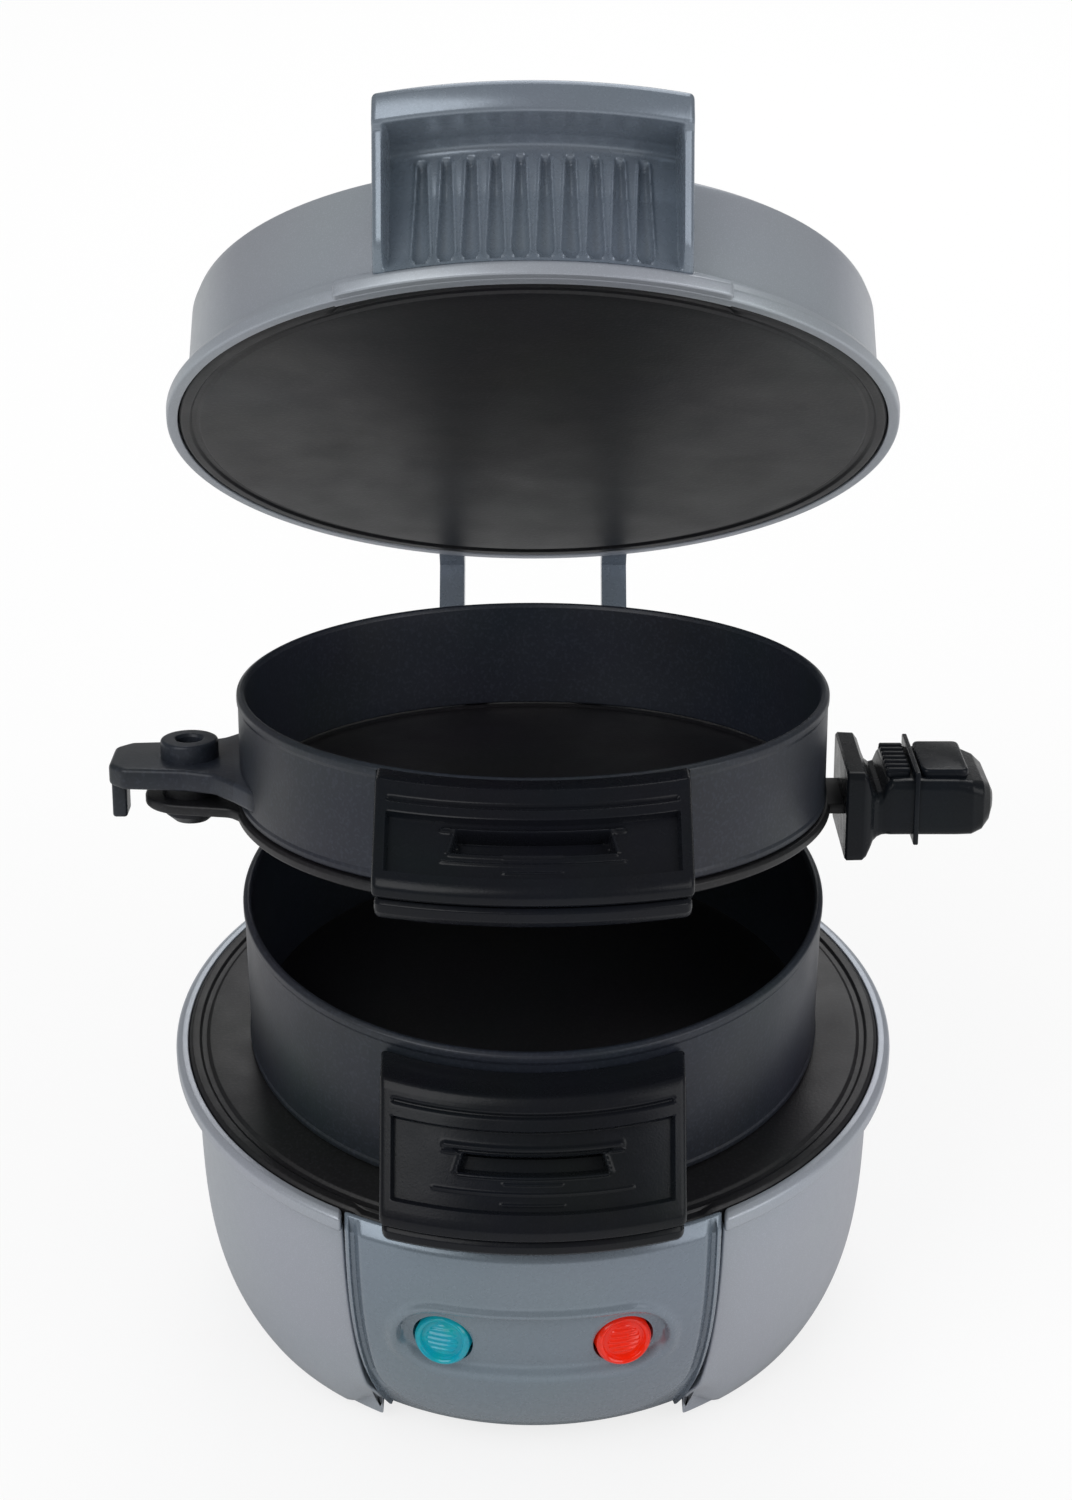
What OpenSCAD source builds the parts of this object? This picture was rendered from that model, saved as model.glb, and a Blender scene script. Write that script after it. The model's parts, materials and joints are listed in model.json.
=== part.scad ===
/* [Base] */
// Outer radius of the base's rim
rim_r = 73; // [70:0.5:80]
// Height of the rim above the table
base_h = 60; // [56:0.5:68]
// Height of the rim's band
rim_band = 4; // [3:0.5:6]
// Wall radius of the base just under the rim
wall_top_r = 69; // [66:0.5:70]
// Wall radius of the base at its foot
wall_foot_r = 61; // [58:0.5:62]
// How full the wall's curve is
wall_fullness = 4.6; // [3:0.1:6]
// Thickness of the moulded walls
shell_wall = 2.2; // [1.6:0.1:2.6]
// Height of the shell's floor above the table
floor_z = 2; // [1.5:0.1:3]
// Radius of the opening that the bottom cover closes
bottom_r = 45; // [42:0.5:46]
// Radius at which the feet stand
foot_pitch_r = 50.5; // [48:0.5:51]
// Angle of each foot from the front or rear
foot_angle = 45; // [43:1:50]
// Radius of a foot's lobe
foot_r = 7.5; // [6:0.25:8]

/* [Front panel] */
// Half width of the front panel at its top
panel_top_half = 35.5; // [33:0.5:38]
// Half width of the front panel at its foot
panel_foot_half = 28.5; // [24:0.5:29]
// Radius of the front panel at its foot
panel_foot_r = 57; // [55:0.5:58]
// How far the panel stands out from the wall at its top
panel_bulge = 4.5; // [3:0.1:6]
// How full the panel's curve is
panel_fullness = 2.7; // [2:0.1:4]
// Width of the groove around the panel
panel_gap = 0.6; // [0.3:0.1:1]
// Radius of an indicator lens
lens_r = 5.4; // [4.5:0.1:6]
// Distance between the centres of the lenses
lens_pitch = 35.6; // [32:0.2:38]
// Height of the lenses above the table
lens_z = 34.8; // [31:0.2:37]
// Tilt of the lenses' seat, facing up
lens_tilt = 8; // [4:1:10]
// Clearance around a lens
lens_clear = 0.15; // [0.1:0.05:0.3]

/* [Hinge] */
// Distance of the hinge pin behind the centre
hinge_y = 82.6; // [81:0.2:85]
// Height of the hinge pin above the base's rim
hinge_rise = 26; // [24:0.5:30]
// Radius of the hinge pin
pin_r = 2.5; // [2:0.1:3]
// Running clearance around the hinge pin
pin_clear = 0.05; // [0.02:0.01:0.1]
// Outer radius of the hinge knuckles
knuckle_r = 6; // [5:0.25:7]
// Width of one knuckle
knuckle_w = 5.5; // [4.5:0.25:6]
// Side gap between knuckles
knuckle_gap = 0.5; // [0.3:0.1:1]
// Half width of the space between the two innermost knuckles
knuckle_start = 3.5; // [2.5:0.25:5]
// Opening angle of the top ring as shown
ring_open = 12; // [8:0.5:16]
// Opening angle of the lid as shown
lid_open = 47; // [40:1:60]

/* [Rings] */
// Outer radius of both rings
ring_r = 57.8; // [55:0.2:60]
// Wall thickness of a ring
ring_wall = 1.8; // [1.4:0.1:2.4]
// Height of the lower ring
lower_ring_h = 32.7; // [28:0.5:36]
// Height of the top ring
top_ring_h = 22; // [18:0.5:26]
// Gap between the stacked pieces
stack_gap = 0.3; // [0.25:0.05:0.5]
// Thickness of the cooking plate
plate_t = 2.2; // [1.8:0.1:3]
// Radius of the cooking plate
plate_r = 58.6; // [57:0.2:61]

/* [Ring handles] */
// Half width of a ring handle
handle_half = 28.2; // [26:0.2:31]
// Radius of a handle's lower front edge
handle_foot_r = 80; // [76:0.5:80.5]
// Radius of the lower handle's top edge
lower_handle_top_r = 65.5; // [63:0.5:68]
// Drop of the lower handle's top below its ring's rim
lower_handle_drop = 3.7; // [2:0.1:6]
// Radius of the top handle's top edge
top_handle_top_r = 63; // [61:0.5:66]
// Thickness of a handle's walls
handle_wall = 2.4; // [2:0.1:3]
// Thickness of a handle's bottom lip
lip_t = 4.2; // [3:0.1:5]

/* [Plate handle] */
// Distance of the cooking plate's pivot to the left of the centre
pivot_x = 67.6; // [66:0.2:70]
// Radius of the pivot stud
stud_r = 1.8; // [1.5:0.1:2.2]
// Running clearance around the pivot stud
stud_clear = 0.05; // [0.02:0.01:0.1]
// Radius of the boss on the ring's ear
boss_r = 5.7; // [5:0.1:6]
// Distance of the guard's inner face from the centre
guard_x = 60.6; // [60.4:0.2:62]
// Distance of the grip's outer end from the centre
grip_end = 90; // [84:1:94]
// Width of the grip
grip_w = 23; // [18:0.5:24]
// Height of the grip
grip_h = 11.5; // [9:0.5:13]

/* [Lid] */
// Outer radius of the lid's rim
lid_rim_r = 73.6; // [71:0.2:76]
// How far the lid's rim stands out from its wall
lid_flare = 4.6; // [3.4:0.2:6]
// Height of the lid's wall
lid_h = 26; // [23:0.5:30]
// Height of the dome above the lid's wall
lid_dome = 4.5; // [3:0.5:6]
// Height of the flared band at the lid's rim
lid_band = 6.4; // [5:0.2:8]
// Half width of the lid's handle
lid_handle_half = 29; // [27:0.5:34]
// Radius that the lid handle's cap reaches
cap_r = 86; // [84:0.5:94]
// Height of the cap's top above the lid's rim
cap_top = 33; // [31.5:0.5:36]
// Thickness of the cap
cap_t = 6.4; // [4:0.2:7]
// Number of flutes in the grip
flutes = 10; // [6:1:12]

/* [Hidden] */
$fn = 96;
curve_steps = 14;
far = 120;
touch = 0.02;
paint = [0.54, 0.57, 0.61];
paint_dark = [0.45, 0.49, 0.53];
black = [0.13, 0.14, 0.16];
coating = [0.11, 0.11, 0.12];
steel = [0.72, 0.73, 0.74];
heat_gap = 0.6;
heating_t = 4.2;
heating_top = base_h + heat_gap;
heating_back = heating_top - heating_t;
heating_r = rim_r - 2.7;
rim_in_r = heating_r + 0.2;
wall_top_z = base_h - rim_band - 2;
hinge_z = base_h + hinge_rise;
lower_z = heating_top + stack_gap;
lower_top = lower_z + lower_ring_h;
plate_z = lower_top + stack_gap;
top_z = plate_z + plate_t + stack_gap;
top_top = top_z + top_ring_h;
lid_z = top_top + stack_gap;
lid_wall_r = lid_rim_r - lid_flare;
ear_under = top_z + 2.6;
ear_t = 4.4;
boss_top = ear_under + ear_t + 3.6;
grip_z = plate_z - 3.4;
knuckle_step = knuckle_w + knuckle_gap;
screw_r = 1.4;
screw_head_r = 2.6;
screw_fit = 0.1;
element_r = 3.2;
element_pitch_r = 44;
element_gap = 12;
dish_in = 12.3;
dish_deep = 11;
dish_z = heating_back - dish_deep;
lid_heating_back = lid_z + heating_t;
lid_dish_z = lid_heating_back + dish_deep;
screw_pitch_r = 30;
cord_r = 2.6;
bottom_screw_r = 1.1;
bushing_z = 20;
bushing_r = 4.5;
bushing_seat = 5.4;
seat_depth = 1.1;
tower_half = knuckle_start + 3 * knuckle_step + knuckle_w;
tower_back = hinge_y + 7;
tower_deck = hinge_z - 15;
ear_grow = knuckle_r + 1;
rivet_x = 12;
rivet_in = ring_r - ring_wall - 2.4;
rivet_l = 7.5;
lower_foot_z = base_h + 7.2;
top_foot_z = top_z + 6;
lip_screw_x = 21;
lip_screw_in = 7.4;
lip_screw_y = sqrt(pow(handle_foot_r - lip_screw_in, 2) - pow(lip_screw_x, 2));
guard_t = 4.6;
guard_w = 27;
guard_under = 4.7;
guard_over = 2.4;
grip_corner = 4;
tang_end = 82;
grip_screw_x = 78;
rib_l = 6.9;
tab_half = 3;
lid_tab_out = 7.4;
lid_tab_half = lid_handle_half + lid_tab_out;
lid_heating_r = lid_rim_r - 2.6;
flute_r = 1.9;
flute_z = 6;
lens_turn = asin(lens_pitch / 2 / panel_r(lens_z));
recess_over = 17;
recess_h = 17.5;
recess_r = 7;
recess_reach = 12;
hollow_top = wall_top_z - 8;
rim_edge = 0.6;
head_fit = 0.2;
plate_screw_turn = 30;
plate_screw_bite = 2;
lens_shank = 7;
lamp_l = 10;
foot_lift = 1;
foot_lobe_h = 7.3;
foot_socket = 2;
bottom_lip = 4.6;
bottom_lip_t = 1.8;
bottom_screw_in = 2.8;
shield_t = 1;
shield_flange = 3;
shield_window_y = 48;
shield_window_r = 5;
thermostat_r = 8;
fuse_y = 22;
fuse_r = 2.2;
block_y = 24;
block_size = [28, 12, 9];
face_depth = 0.8;
handle_rivet_up = 9;
lip_screw_boss = 3;
tang_w = 16;
stud_head_r = 5.2;

// Shared shapes

function wall_r(z) = wall_foot_r
    + (wall_top_r - wall_foot_r) * (1 - pow(max(0, 1 - z / wall_top_z), wall_fullness));
function panel_r(z) = panel_foot_r
    + (wall_top_r + panel_bulge - panel_foot_r) * (1 - pow(max(0, 1 - z / wall_top_z), panel_fullness));
function panel_half(z) = panel_foot_half
    + (panel_top_half - panel_foot_half) * (1 - pow(max(0, 1 - z / base_h), panel_fullness));
function shield_steps(low, high) = [for (i = [0 : 5]) low + (high - low) * i / 5];
function steps(low, high) = [for (i = [0 : curve_steps]) low + (high - low) * i / curve_steps];
function knuckle_x(slot) = knuckle_start + slot * knuckle_step;

module opened(angle) {
    translate([0, hinge_y, hinge_z])
        rotate([-angle, 0, 0])
            translate([0, -hinge_y, -hinge_z])
                children();
}

module along_x(x, w) {
    translate([x, 0, 0])
        rotate([90, 0, 90])
            linear_extrude(w)
                children();
}

module both_sides() {
    children();
    mirror([1, 0, 0])
        children();
}

module round_bar(size, r) {
    w = size[0];
    h = size[1];
    translate([r - w / 2, -h / 2])
        square([w - 2 * r, h]);
    translate([-w / 2, r - h / 2])
        square([w, h - 2 * r]);
    for (x = [-1, 1], y = [-1, 1])
        translate([x * (w / 2 - r), y * (h / 2 - r)])
            circle(r);
}

module screw(length) {
    cylinder(r = screw_r, h = length);
    difference() {
        translate([0, 0, -1.6])
            cylinder(r = screw_head_r, h = 1.6);
        translate([0, 0, -1.7])
            cylinder(r = 1.3, h = 1, $fn = 6);
    }
}

module wedge(half, low, high) {
    translate([-half, -far, low])
        cube([2 * half, far - 20, high - low]);
}

// Base

function rim_edge_points(grow = 0) = [[rim_r + grow, base_h - rim_band], [rim_r + grow, base_h - rim_edge],
    [rim_r - rim_edge + grow, base_h]];

module base_solid(grow = 0) {
    rotate_extrude()
        polygon(concat(
            [[0, 0], [wall_r(0) + grow, 0]],
            [for (z = steps(floor_z, wall_top_z)) [wall_r(z) + grow, z]],
            rim_edge_points(grow),
            [[0, base_h]]
        ));
}

module shield(grow = 0) {
    translate([0, -far / 3, 0])
        rotate([90, 0, 0])
            linear_extrude(far)
                polygon(concat(
                    [for (z = shield_steps(0, base_h + 5)) [panel_half(z) + grow, z]],
                    [for (z = shield_steps(base_h + 5, 0)) [-panel_half(z) - grow, z]],
                    [[-panel_foot_half - grow, -5], [panel_foot_half + grow, -5]]
                ));
}

module at_feet() {
    for (a = [foot_angle, 180 - foot_angle, 180 + foot_angle, -foot_angle])
        rotate([0, 0, a - 90])
            translate([foot_pitch_r, 0, 0])
                children();
}

module at_bottom_screws() {
    for (a = [0 : 90 : 270])
        rotate([0, 0, a])
            translate([bottom_r + bottom_screw_in, 0, 0])
                children();
}

module base_shell() {
    color(paint)
        difference() {
            union() {
                rotate_extrude()
                    polygon(concat(
                        [[bottom_r, floor_z]],
                        [for (z = steps(floor_z, wall_top_z)) [wall_r(z), z]],
                        rim_edge_points(),
                        [[rim_in_r, base_h], [rim_in_r, heating_back], [rim_in_r - 4, heating_back]],
                        [for (z = steps(wall_top_z - 6, floor_z + shell_wall)) [wall_r(z) - shell_wall, z]],
                        [[bottom_r, floor_z + shell_wall]]
                    ));
                at_feet()
                    translate([0, 0, foot_lift])
                        cylinder(r = foot_r, h = foot_lobe_h);
                translate([0, wall_r(bushing_z) - bushing_seat, bushing_z])
                    rotate([-90, 0, 0])
                        cylinder(r = bushing_r + 4, h = bushing_seat + 0.7);
            }
            shield(panel_gap);
            translate([0, wall_r(bushing_z) + 0.7, bushing_z])
                rotate([-90, 0, 0])
                    cylinder(r = bushing_r + 4, h = 20);
            at_feet()
                translate([0, 0, -1])
                    cylinder(r = foot_r - foot_socket, h = 3.5);
            translate([0, bottom_r, bushing_z])
                rotate([-90, 0, 0])
                    cylinder(r = bushing_r + screw_fit, h = 40);
            at_bottom_screws()
                cylinder(r = bottom_screw_r + screw_fit, h = 20);
        }
}

module panel_body() {
    intersection() {
        rotate_extrude()
            polygon(concat(
                [[bottom_r, floor_z]],
                [for (z = steps(floor_z, wall_top_z)) [panel_r(z), z]],
                [[panel_r(wall_top_z), base_h - 3.5], [panel_r(wall_top_z) - 1.2, base_h - 1.2]],
                [[rim_in_r + 0.8, base_h], [rim_in_r, base_h]],
                [[rim_in_r, heating_back], [rim_in_r - 4, heating_back]],
                [for (z = steps(wall_top_z - 6, floor_z + shell_wall))
                    [min(wall_r(z), panel_r(z)) - shell_wall, z]],
                [[bottom_r, floor_z + shell_wall]]
            ));
        shield();
    }
}

module lens_seat(side) {
    rotate([0, 0, side * lens_turn])
        translate([0, -panel_r(lens_z), lens_z])
            rotate([90 - lens_tilt, 0, 0])
                children();
}

module panel_recess() {
    intersection() {
        rotate_extrude()
            polygon(concat(
                [for (z = steps(lens_z - recess_reach, lens_z + recess_reach)) [panel_r(z) - seat_depth, z]],
                [[far, lens_z + recess_reach], [far, lens_z - recess_reach]]
            ));
        translate([0, -far / 3, lens_z])
            rotate([90, 0, 0])
                linear_extrude(far)
                    round_bar([lens_pitch + recess_over, recess_h], recess_r);
    }
}

module front_panel() {
    color(paint_dark)
        difference() {
            panel_body();
            intersection() {
                rotate_extrude()
                    polygon(concat(
                        [for (z = steps(floor_z + shell_wall, hollow_top)) [panel_r(z) - shell_wall - 0.2, z]],
                        [for (z = steps(hollow_top, floor_z + shell_wall)) [wall_r(z) - shell_wall - 3, z]]
                    ));
                shield(-shell_wall);
            }
            panel_recess();
            at_bottom_screws()
                cylinder(r = bottom_screw_r + screw_fit, h = 20);
            for (side = [-1, 1])
                lens_seat(side)
                    translate([0, 0, -12])
                        cylinder(r = lens_r + lens_clear, h = 24);
        }
}

module lens(side) {
    lens_seat(side)
        translate([0, 0, -seat_depth])
            rotate_extrude()
                polygon([[0, -lens_shank], [lens_r - 0.8, -lens_shank], [lens_r - 0.8, -4], [lens_r, -4],
                    [lens_r, 0.8], [lens_r - 0.5, 1.3], [lens_r - 1.2, 1.3], [lens_r - 1.2, 0.9],
                    [lens_r * 0.5, 1.6], [0, 1.9]]);
}

module green_lens() {
    color([0.1, 0.65, 0.69])
        lens(-1);
}

module red_lens() {
    color([0.88, 0.23, 0.06])
        lens(1);
}

module indicator_lamps() {
    color("ivory")
        for (side = [-1, 1])
            lens_seat(side)
                translate([0, 0, -seat_depth - lens_shank - touch]) {
                    translate([0, 0, 4 - lamp_l])
                        cylinder(r = 2.2, h = lamp_l - 4);
                    translate([0, 0, -lamp_l])
                        cylinder(r = 3.6, h = 4);
                }
}

module bottom_cover() {
    color(black)
        difference() {
            union() {
                translate([0, 0, floor_z - 0.2])
                    cylinder(r = bottom_r - 0.3, h = shell_wall);
                translate([0, 0, floor_z + shell_wall])
                    cylinder(r = bottom_r + bottom_lip, h = bottom_lip_t);
            }
            at_bottom_screws()
                cylinder(r = bottom_screw_r + screw_fit, h = 20);
            for (a = [0 : 30 : 330])
                rotate([0, 0, a])
                    translate([18, -1, 0])
                        cube([14, 2, 20]);
            at_feet()
                cylinder(r = foot_r + stack_gap, h = 20);
        }
}

module feet() {
    color(black)
        at_feet()
            cylinder(r = foot_r - foot_socket - screw_fit, h = 2.4);
}

function heating_outline(r, face, back) = let (s = sign(back - face)) [[0, face], [r - 3.4, face],
    [r - 3, face + s * 0.6], [r - 2, face + s * 0.6], [r - 1.6, face], [r - 0.4, face], [r, face + s * 0.4],
    [r, back], [0, back]];

module at_plate_screws(z) {
    for (i = [0 : 2])
        rotate([0, 0, plate_screw_turn + i * 120])
            translate([screw_pitch_r, 0, z])
                children();
}

module lower_heating_plate() {
    color(coating)
        difference() {
            rotate_extrude()
                polygon(heating_outline(heating_r, heating_top, heating_back));
            at_plate_screws(heating_back - 1)
                cylinder(r = screw_r + screw_fit, h = plate_screw_bite + 1.4);
        }
}

module heating_element(z, pitch_r) {
    translate([0, 0, z])
        rotate([0, 0, 90 + element_gap])
            rotate_extrude(angle = 360 - 2 * element_gap)
                translate([pitch_r, 0])
                    circle(element_r);
    for (side = [-1, 1])
        rotate([0, 0, 90 + side * element_gap])
            translate([pitch_r, 0, z])
                rotate([side * 90, 0, 180])
                    cylinder(r = 1.6, h = 5);
}

module lower_heating_element() {
    color(steel)
        heating_element(heating_back - element_r - touch, element_pitch_r);
}

module heat_shield(plate_edge, inner, outer, seat) {
    dish_r = plate_edge - dish_in;
    low = min(inner, outer) - 1;
    difference() {
        rotate_extrude()
            polygon([[0, inner], [dish_r - shield_t, inner], [dish_r + shield_flange - shield_t, seat],
                [dish_r + shield_flange, seat], [dish_r, outer], [0, outer]]);
        at_plate_screws(low)
            cylinder(r = screw_r + screw_fit, h = shield_t + 2);
        translate([0, shield_window_y, low])
            cylinder(r = shield_window_r, h = shield_t + 2);
    }
}

module lower_heat_shield() {
    color("silver")
        heat_shield(heating_r, dish_z + shield_t, dish_z, heating_back - touch);
}

module thermostat() {
    color("ivory")
        translate([0, 0, heating_back - touch - 8]) {
            cylinder(r = thermostat_r, h = 8);
            for (side = [-1, 1])
                translate([side * 5 - 1.5, -0.4, -1.6])
                    cube([3, 0.8, 1.6]);
        }
}

module fuse(z) {
    translate([0, fuse_y, z])
        rotate([0, 90, 0]) {
            cylinder(r = fuse_r, h = 14, center = true);
            cylinder(r = 0.6, h = 26, center = true);
        }
}

module thermal_fuse() {
    color("white")
        fuse(heating_back - touch - fuse_r);
}

module terminal_block() {
    color("ivory")
        translate([0, block_y, floor_z + shell_wall + bottom_lip_t + touch])
            difference() {
                translate([-block_size[0] / 2, -block_size[1] / 2, 0])
                    cube(block_size);
                for (x = [-9, 0, 9]) {
                    translate([x, 0, -1])
                        cylinder(r = 1.8, h = 20);
                    translate([x, -10, block_size[2] / 2])
                        rotate([-90, 0, 0])
                            cylinder(r = 2.2, h = 20);
                }
            }
}

module lower_plate_screws() {
    color(steel)
        at_plate_screws(dish_z - touch)
            screw(heating_back - dish_z + plate_screw_bite);
}

module bottom_screws() {
    color(steel)
        at_bottom_screws()
            translate([0, 0, floor_z - 1.2]) {
                cylinder(r = bottom_screw_r, h = 7);
                cylinder(r = bottom_screw_r + 1, h = 1.1);
            }
}

module cord_bushing() {
    color(black)
        translate([0, wall_r(bushing_z), bushing_z])
            rotate([-90, 0, 0])
                rotate_extrude()
                    polygon([[cord_r, -7], [bushing_r + 0.8, -7], [bushing_r + 0.8, -bushing_seat - 0.2],
                        [bushing_r, -bushing_seat - 0.2], [bushing_r, 0.8], [bushing_r + 2.2, 0.8],
                        [bushing_r + 2.2, 2], [bushing_r + 1, 3.4], [cord_r, 3.4]]);
}

// Hinge

module knuckle_bore(x, w) {
    along_x(x - 1, w + 2)
        translate([hinge_y, hinge_z])
            circle(pin_r + pin_clear);
}

module hinge_tower() {
    color(paint_dark)
        difference() {
            union() {
                along_x(-tower_half, 2 * tower_half)
                    polygon([[wall_foot_r, 30], [tower_back - 17.6, 30], [tower_back - 9.6, 36],
                        [tower_back - 3.6, 48], [tower_back, base_h + 2], [tower_back, tower_deck],
                        [wall_foot_r, tower_deck]]);
                both_sides()
                    along_x(knuckle_x(3), knuckle_w) {
                        polygon([[rim_r + 1, base_h], [tower_back, base_h], [hinge_y + ear_grow, hinge_z],
                            [hinge_y - ear_grow, hinge_z]]);
                        translate([hinge_y, hinge_z])
                            circle(ear_grow);
                    }
            }
            base_solid(0.1);
            cylinder(r = rim_r + 0.5, h = far);
            both_sides()
                knuckle_bore(knuckle_x(3), knuckle_w);
        }
}

module hinge_pin() {
    color(steel)
        along_x(-tower_half - 1.5, 2 * tower_half + 3)
            translate([hinge_y, hinge_z])
                circle(pin_r);
}

module knuckle(slot, outline) {
    both_sides()
        difference() {
            along_x(knuckle_x(slot), knuckle_w) {
                polygon(outline);
                translate([hinge_y, hinge_z])
                    circle(knuckle_r);
            }
            knuckle_bore(knuckle_x(slot), knuckle_w);
        }
}

module wall_pad(half, low, high, in_r, out_r) {
    intersection() {
        rotate_extrude()
            polygon([[in_r, low], [out_r, low], [out_r, high], [in_r, high]]);
        translate([-half, 10, low - 1])
            cube([2 * half, far, high - low + 2]);
    }
}

// Rings

module ring_body(low, high) {
    rotate_extrude()
        polygon([[ring_r - ring_wall, low], [ring_r - 0.4, low], [ring_r, low + 0.4], [ring_r, high - 0.4],
            [ring_r - 0.4, high], [ring_r - ring_wall + 0.3, high], [ring_r - ring_wall, high - 0.3]]);
}

module lower_ring() {
    color([0.22, 0.23, 0.26])
        difference() {
            ring_body(lower_z, lower_top);
            handle_rivets(lower_foot_z + handle_rivet_up, screw_r + screw_fit);
        }
}

module handle_rivets(z, r) {
    for (x = [-rivet_x, rivet_x])
        translate([x, -rivet_in, z])
            rotate([90, 0, 0])
                cylinder(r = r, h = rivet_l);
}

function face_point(a, b, t, d) = a + (b - a) * t + d * [a[1] - b[1], b[0] - a[0]] / norm(b - a);
function face_band(a, b, t0, t1, d0, d1) = [face_point(a, b, t0, d0), face_point(a, b, t1, d0),
    face_point(a, b, t1, d1), face_point(a, b, t0, d1)];

module face_strip(a, b, span, depth, half) {
    intersection() {
        rotate_extrude()
            polygon(face_band(a, b, span[0], span[1], depth[0], depth[1]));
        wedge(half, 0, 2 * far);
    }
}

module ring_handle(top_r, top_h, foot_z) {
    a = [top_r + 1.2, top_h - 1.2];
    b = [handle_foot_r - 0.8, foot_z + 3.6];
    inner = handle_wall + 0.6;
    difference() {
        union() {
            difference() {
                intersection() {
                    rotate_extrude()
                        polygon([[ring_r + touch, foot_z], [ring_r + touch, top_h], [top_r, top_h], a, b,
                            [handle_foot_r, foot_z + 2], [handle_foot_r, foot_z]]);
                    wedge(handle_half, foot_z, top_h);
                }
                face_strip(a, b, [0.1, 0.94], [-face_depth, 4], handle_half - 3);
                intersection() {
                    rotate_extrude()
                        polygon([[ring_r + handle_wall, foot_z - 1],
                            [ring_r + handle_wall, top_h - handle_wall],
                            face_point(a, b, 0.1, -inner), face_point(a, b, 0.96, -inner),
                            [handle_foot_r - handle_wall, foot_z - 1]]);
                    wedge(handle_half - handle_wall, foot_z - 1, top_h);
                }
            }
            face_strip(a, b, [0.3, 0.52], [-1, 0.1], 17);
            for (rib = [[0.62, 6.5], [0.71, 20], [0.82, 6.5]])
                face_strip(a, b, [rib[0], rib[0] + 0.03], [-1, -0.3], rib[1]);
            for (x = [-lip_screw_x, lip_screw_x])
                translate([x, -lip_screw_y, foot_z])
                    cylinder(r = lip_screw_boss, h = 6);
        }
        face_strip(a, b, [0.36, 0.46], [-6, 4], 14);
        for (x = [-lip_screw_x, lip_screw_x])
            translate([x, -lip_screw_y, foot_z - 1])
                cylinder(r = screw_r + screw_fit, h = 6.2);
        handle_rivets(foot_z + handle_rivet_up, screw_r + screw_fit);
    }
}

module handle_lip(foot_z) {
    top = foot_z - touch;
    low = foot_z - lip_t;
    difference() {
        intersection() {
            rotate_extrude()
                polygon([[ring_r + 2.5, low], [handle_foot_r - 1.6, low], [handle_foot_r - 0.2, low + 1.4],
                    [handle_foot_r - 0.2, top - 0.6], [handle_foot_r - 0.8, top], [ring_r + 2.5, top]]);
            wedge(handle_half, low - 1, top + 1);
        }
        for (x = [-lip_screw_x, lip_screw_x]) {
            translate([x, -lip_screw_y, low - 1])
                cylinder(r = screw_r + screw_fit, h = far);
            translate([x, -lip_screw_y, low - 1])
                cylinder(r = screw_head_r + head_fit, h = 3);
        }
    }
}

module handle_screws(foot_z) {
    for (x = [-lip_screw_x, lip_screw_x])
        translate([x, -lip_screw_y, foot_z - lip_t + 2 - touch])
            screw(lip_t + 2.6);
    handle_rivets(foot_z + handle_rivet_up, screw_r);
}

module lower_ring_handle() {
    color(black)
        ring_handle(lower_handle_top_r, lower_top - lower_handle_drop, lower_foot_z);
}

module lower_handle_lip() {
    color(black)
        handle_lip(lower_foot_z);
}

module lower_handle_screws() {
    color(steel)
        handle_screws(lower_foot_z);
}

module lower_ring_bracket() {
    color([0.22, 0.23, 0.26]) {
        difference() {
            knuckle(0, [[ring_r - 4, hinge_z - 6], [hinge_y, hinge_z - knuckle_r],
                [hinge_y, hinge_z + knuckle_r], [ring_r - 4, hinge_z + 4]]);
            cylinder(r = ring_r + touch, h = far);
        }
        wall_pad(knuckle_x(0) + knuckle_w, lower_top - 20, lower_top - 2, ring_r + touch, ring_r + 2);
    }
}

module ear_outline() {
    ear_end = pivot_x + 15.4;
    polygon([[-48, -28], [-57, -17.5], [-62, -12], [-67, -9.6], [2 - ear_end, -8.6], [-ear_end, -6.6],
        [-ear_end, 6.6], [2 - ear_end, 8.6], [-67, 9.6], [-62, 12], [-57, 17.5], [-48, 28]]);
}

module top_ring() {
    color([0.22, 0.23, 0.26])
        opened(ring_open)
            difference() {
                union() {
                    ring_body(top_z, top_top);
                    difference() {
                        union() {
                            translate([0, 0, ear_under])
                                linear_extrude(ear_t)
                                    ear_outline();
                            translate([-pivot_x - 15.4, -tab_half, top_z - 5])
                                cube([2.6, 2 * tab_half, ear_under - top_z + 6]);
                        }
                        translate([0, 0, top_z - 10])
                            cylinder(r = ring_r - 0.6, h = far);
                    }
                    translate([-pivot_x, 0, ear_under])
                        cylinder(r = boss_r, h = boss_top - ear_under);
                }
                translate([-pivot_x, 0, ear_under - 1])
                    cylinder(r = stud_r + stud_clear, h = far);
                translate([-pivot_x, 0, boss_top - 3.6])
                    cylinder(r = stud_r + 0.8, h = far);
                handle_rivets(top_foot_z + handle_rivet_up, screw_r + screw_fit);
            }
}

module top_ring_handle() {
    color(black)
        opened(ring_open)
            ring_handle(top_handle_top_r, top_top, top_foot_z);
}

module top_handle_lip() {
    color(black)
        opened(ring_open)
            handle_lip(top_foot_z);
}

module top_handle_screws() {
    color(steel)
        opened(ring_open)
            handle_screws(top_foot_z);
}

module top_ring_bracket() {
    color([0.22, 0.23, 0.26])
        opened(ring_open) {
            difference() {
                knuckle(1, [[ring_r - 4, top_z + 2], [ring_r + 3, top_z + 1], [hinge_y - 5, hinge_z - 3],
                    [hinge_y + 4, hinge_z + 4], [ring_r + 8, top_z + 12], [ring_r - 4, top_z + 14]]);
                cylinder(r = ring_r + touch, h = 2 * far);
            }
            wall_pad(knuckle_x(1) + knuckle_w, top_z + 2, top_top - 2, ring_r + touch, ring_r + 2);
        }
}

// Cooking plate

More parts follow.
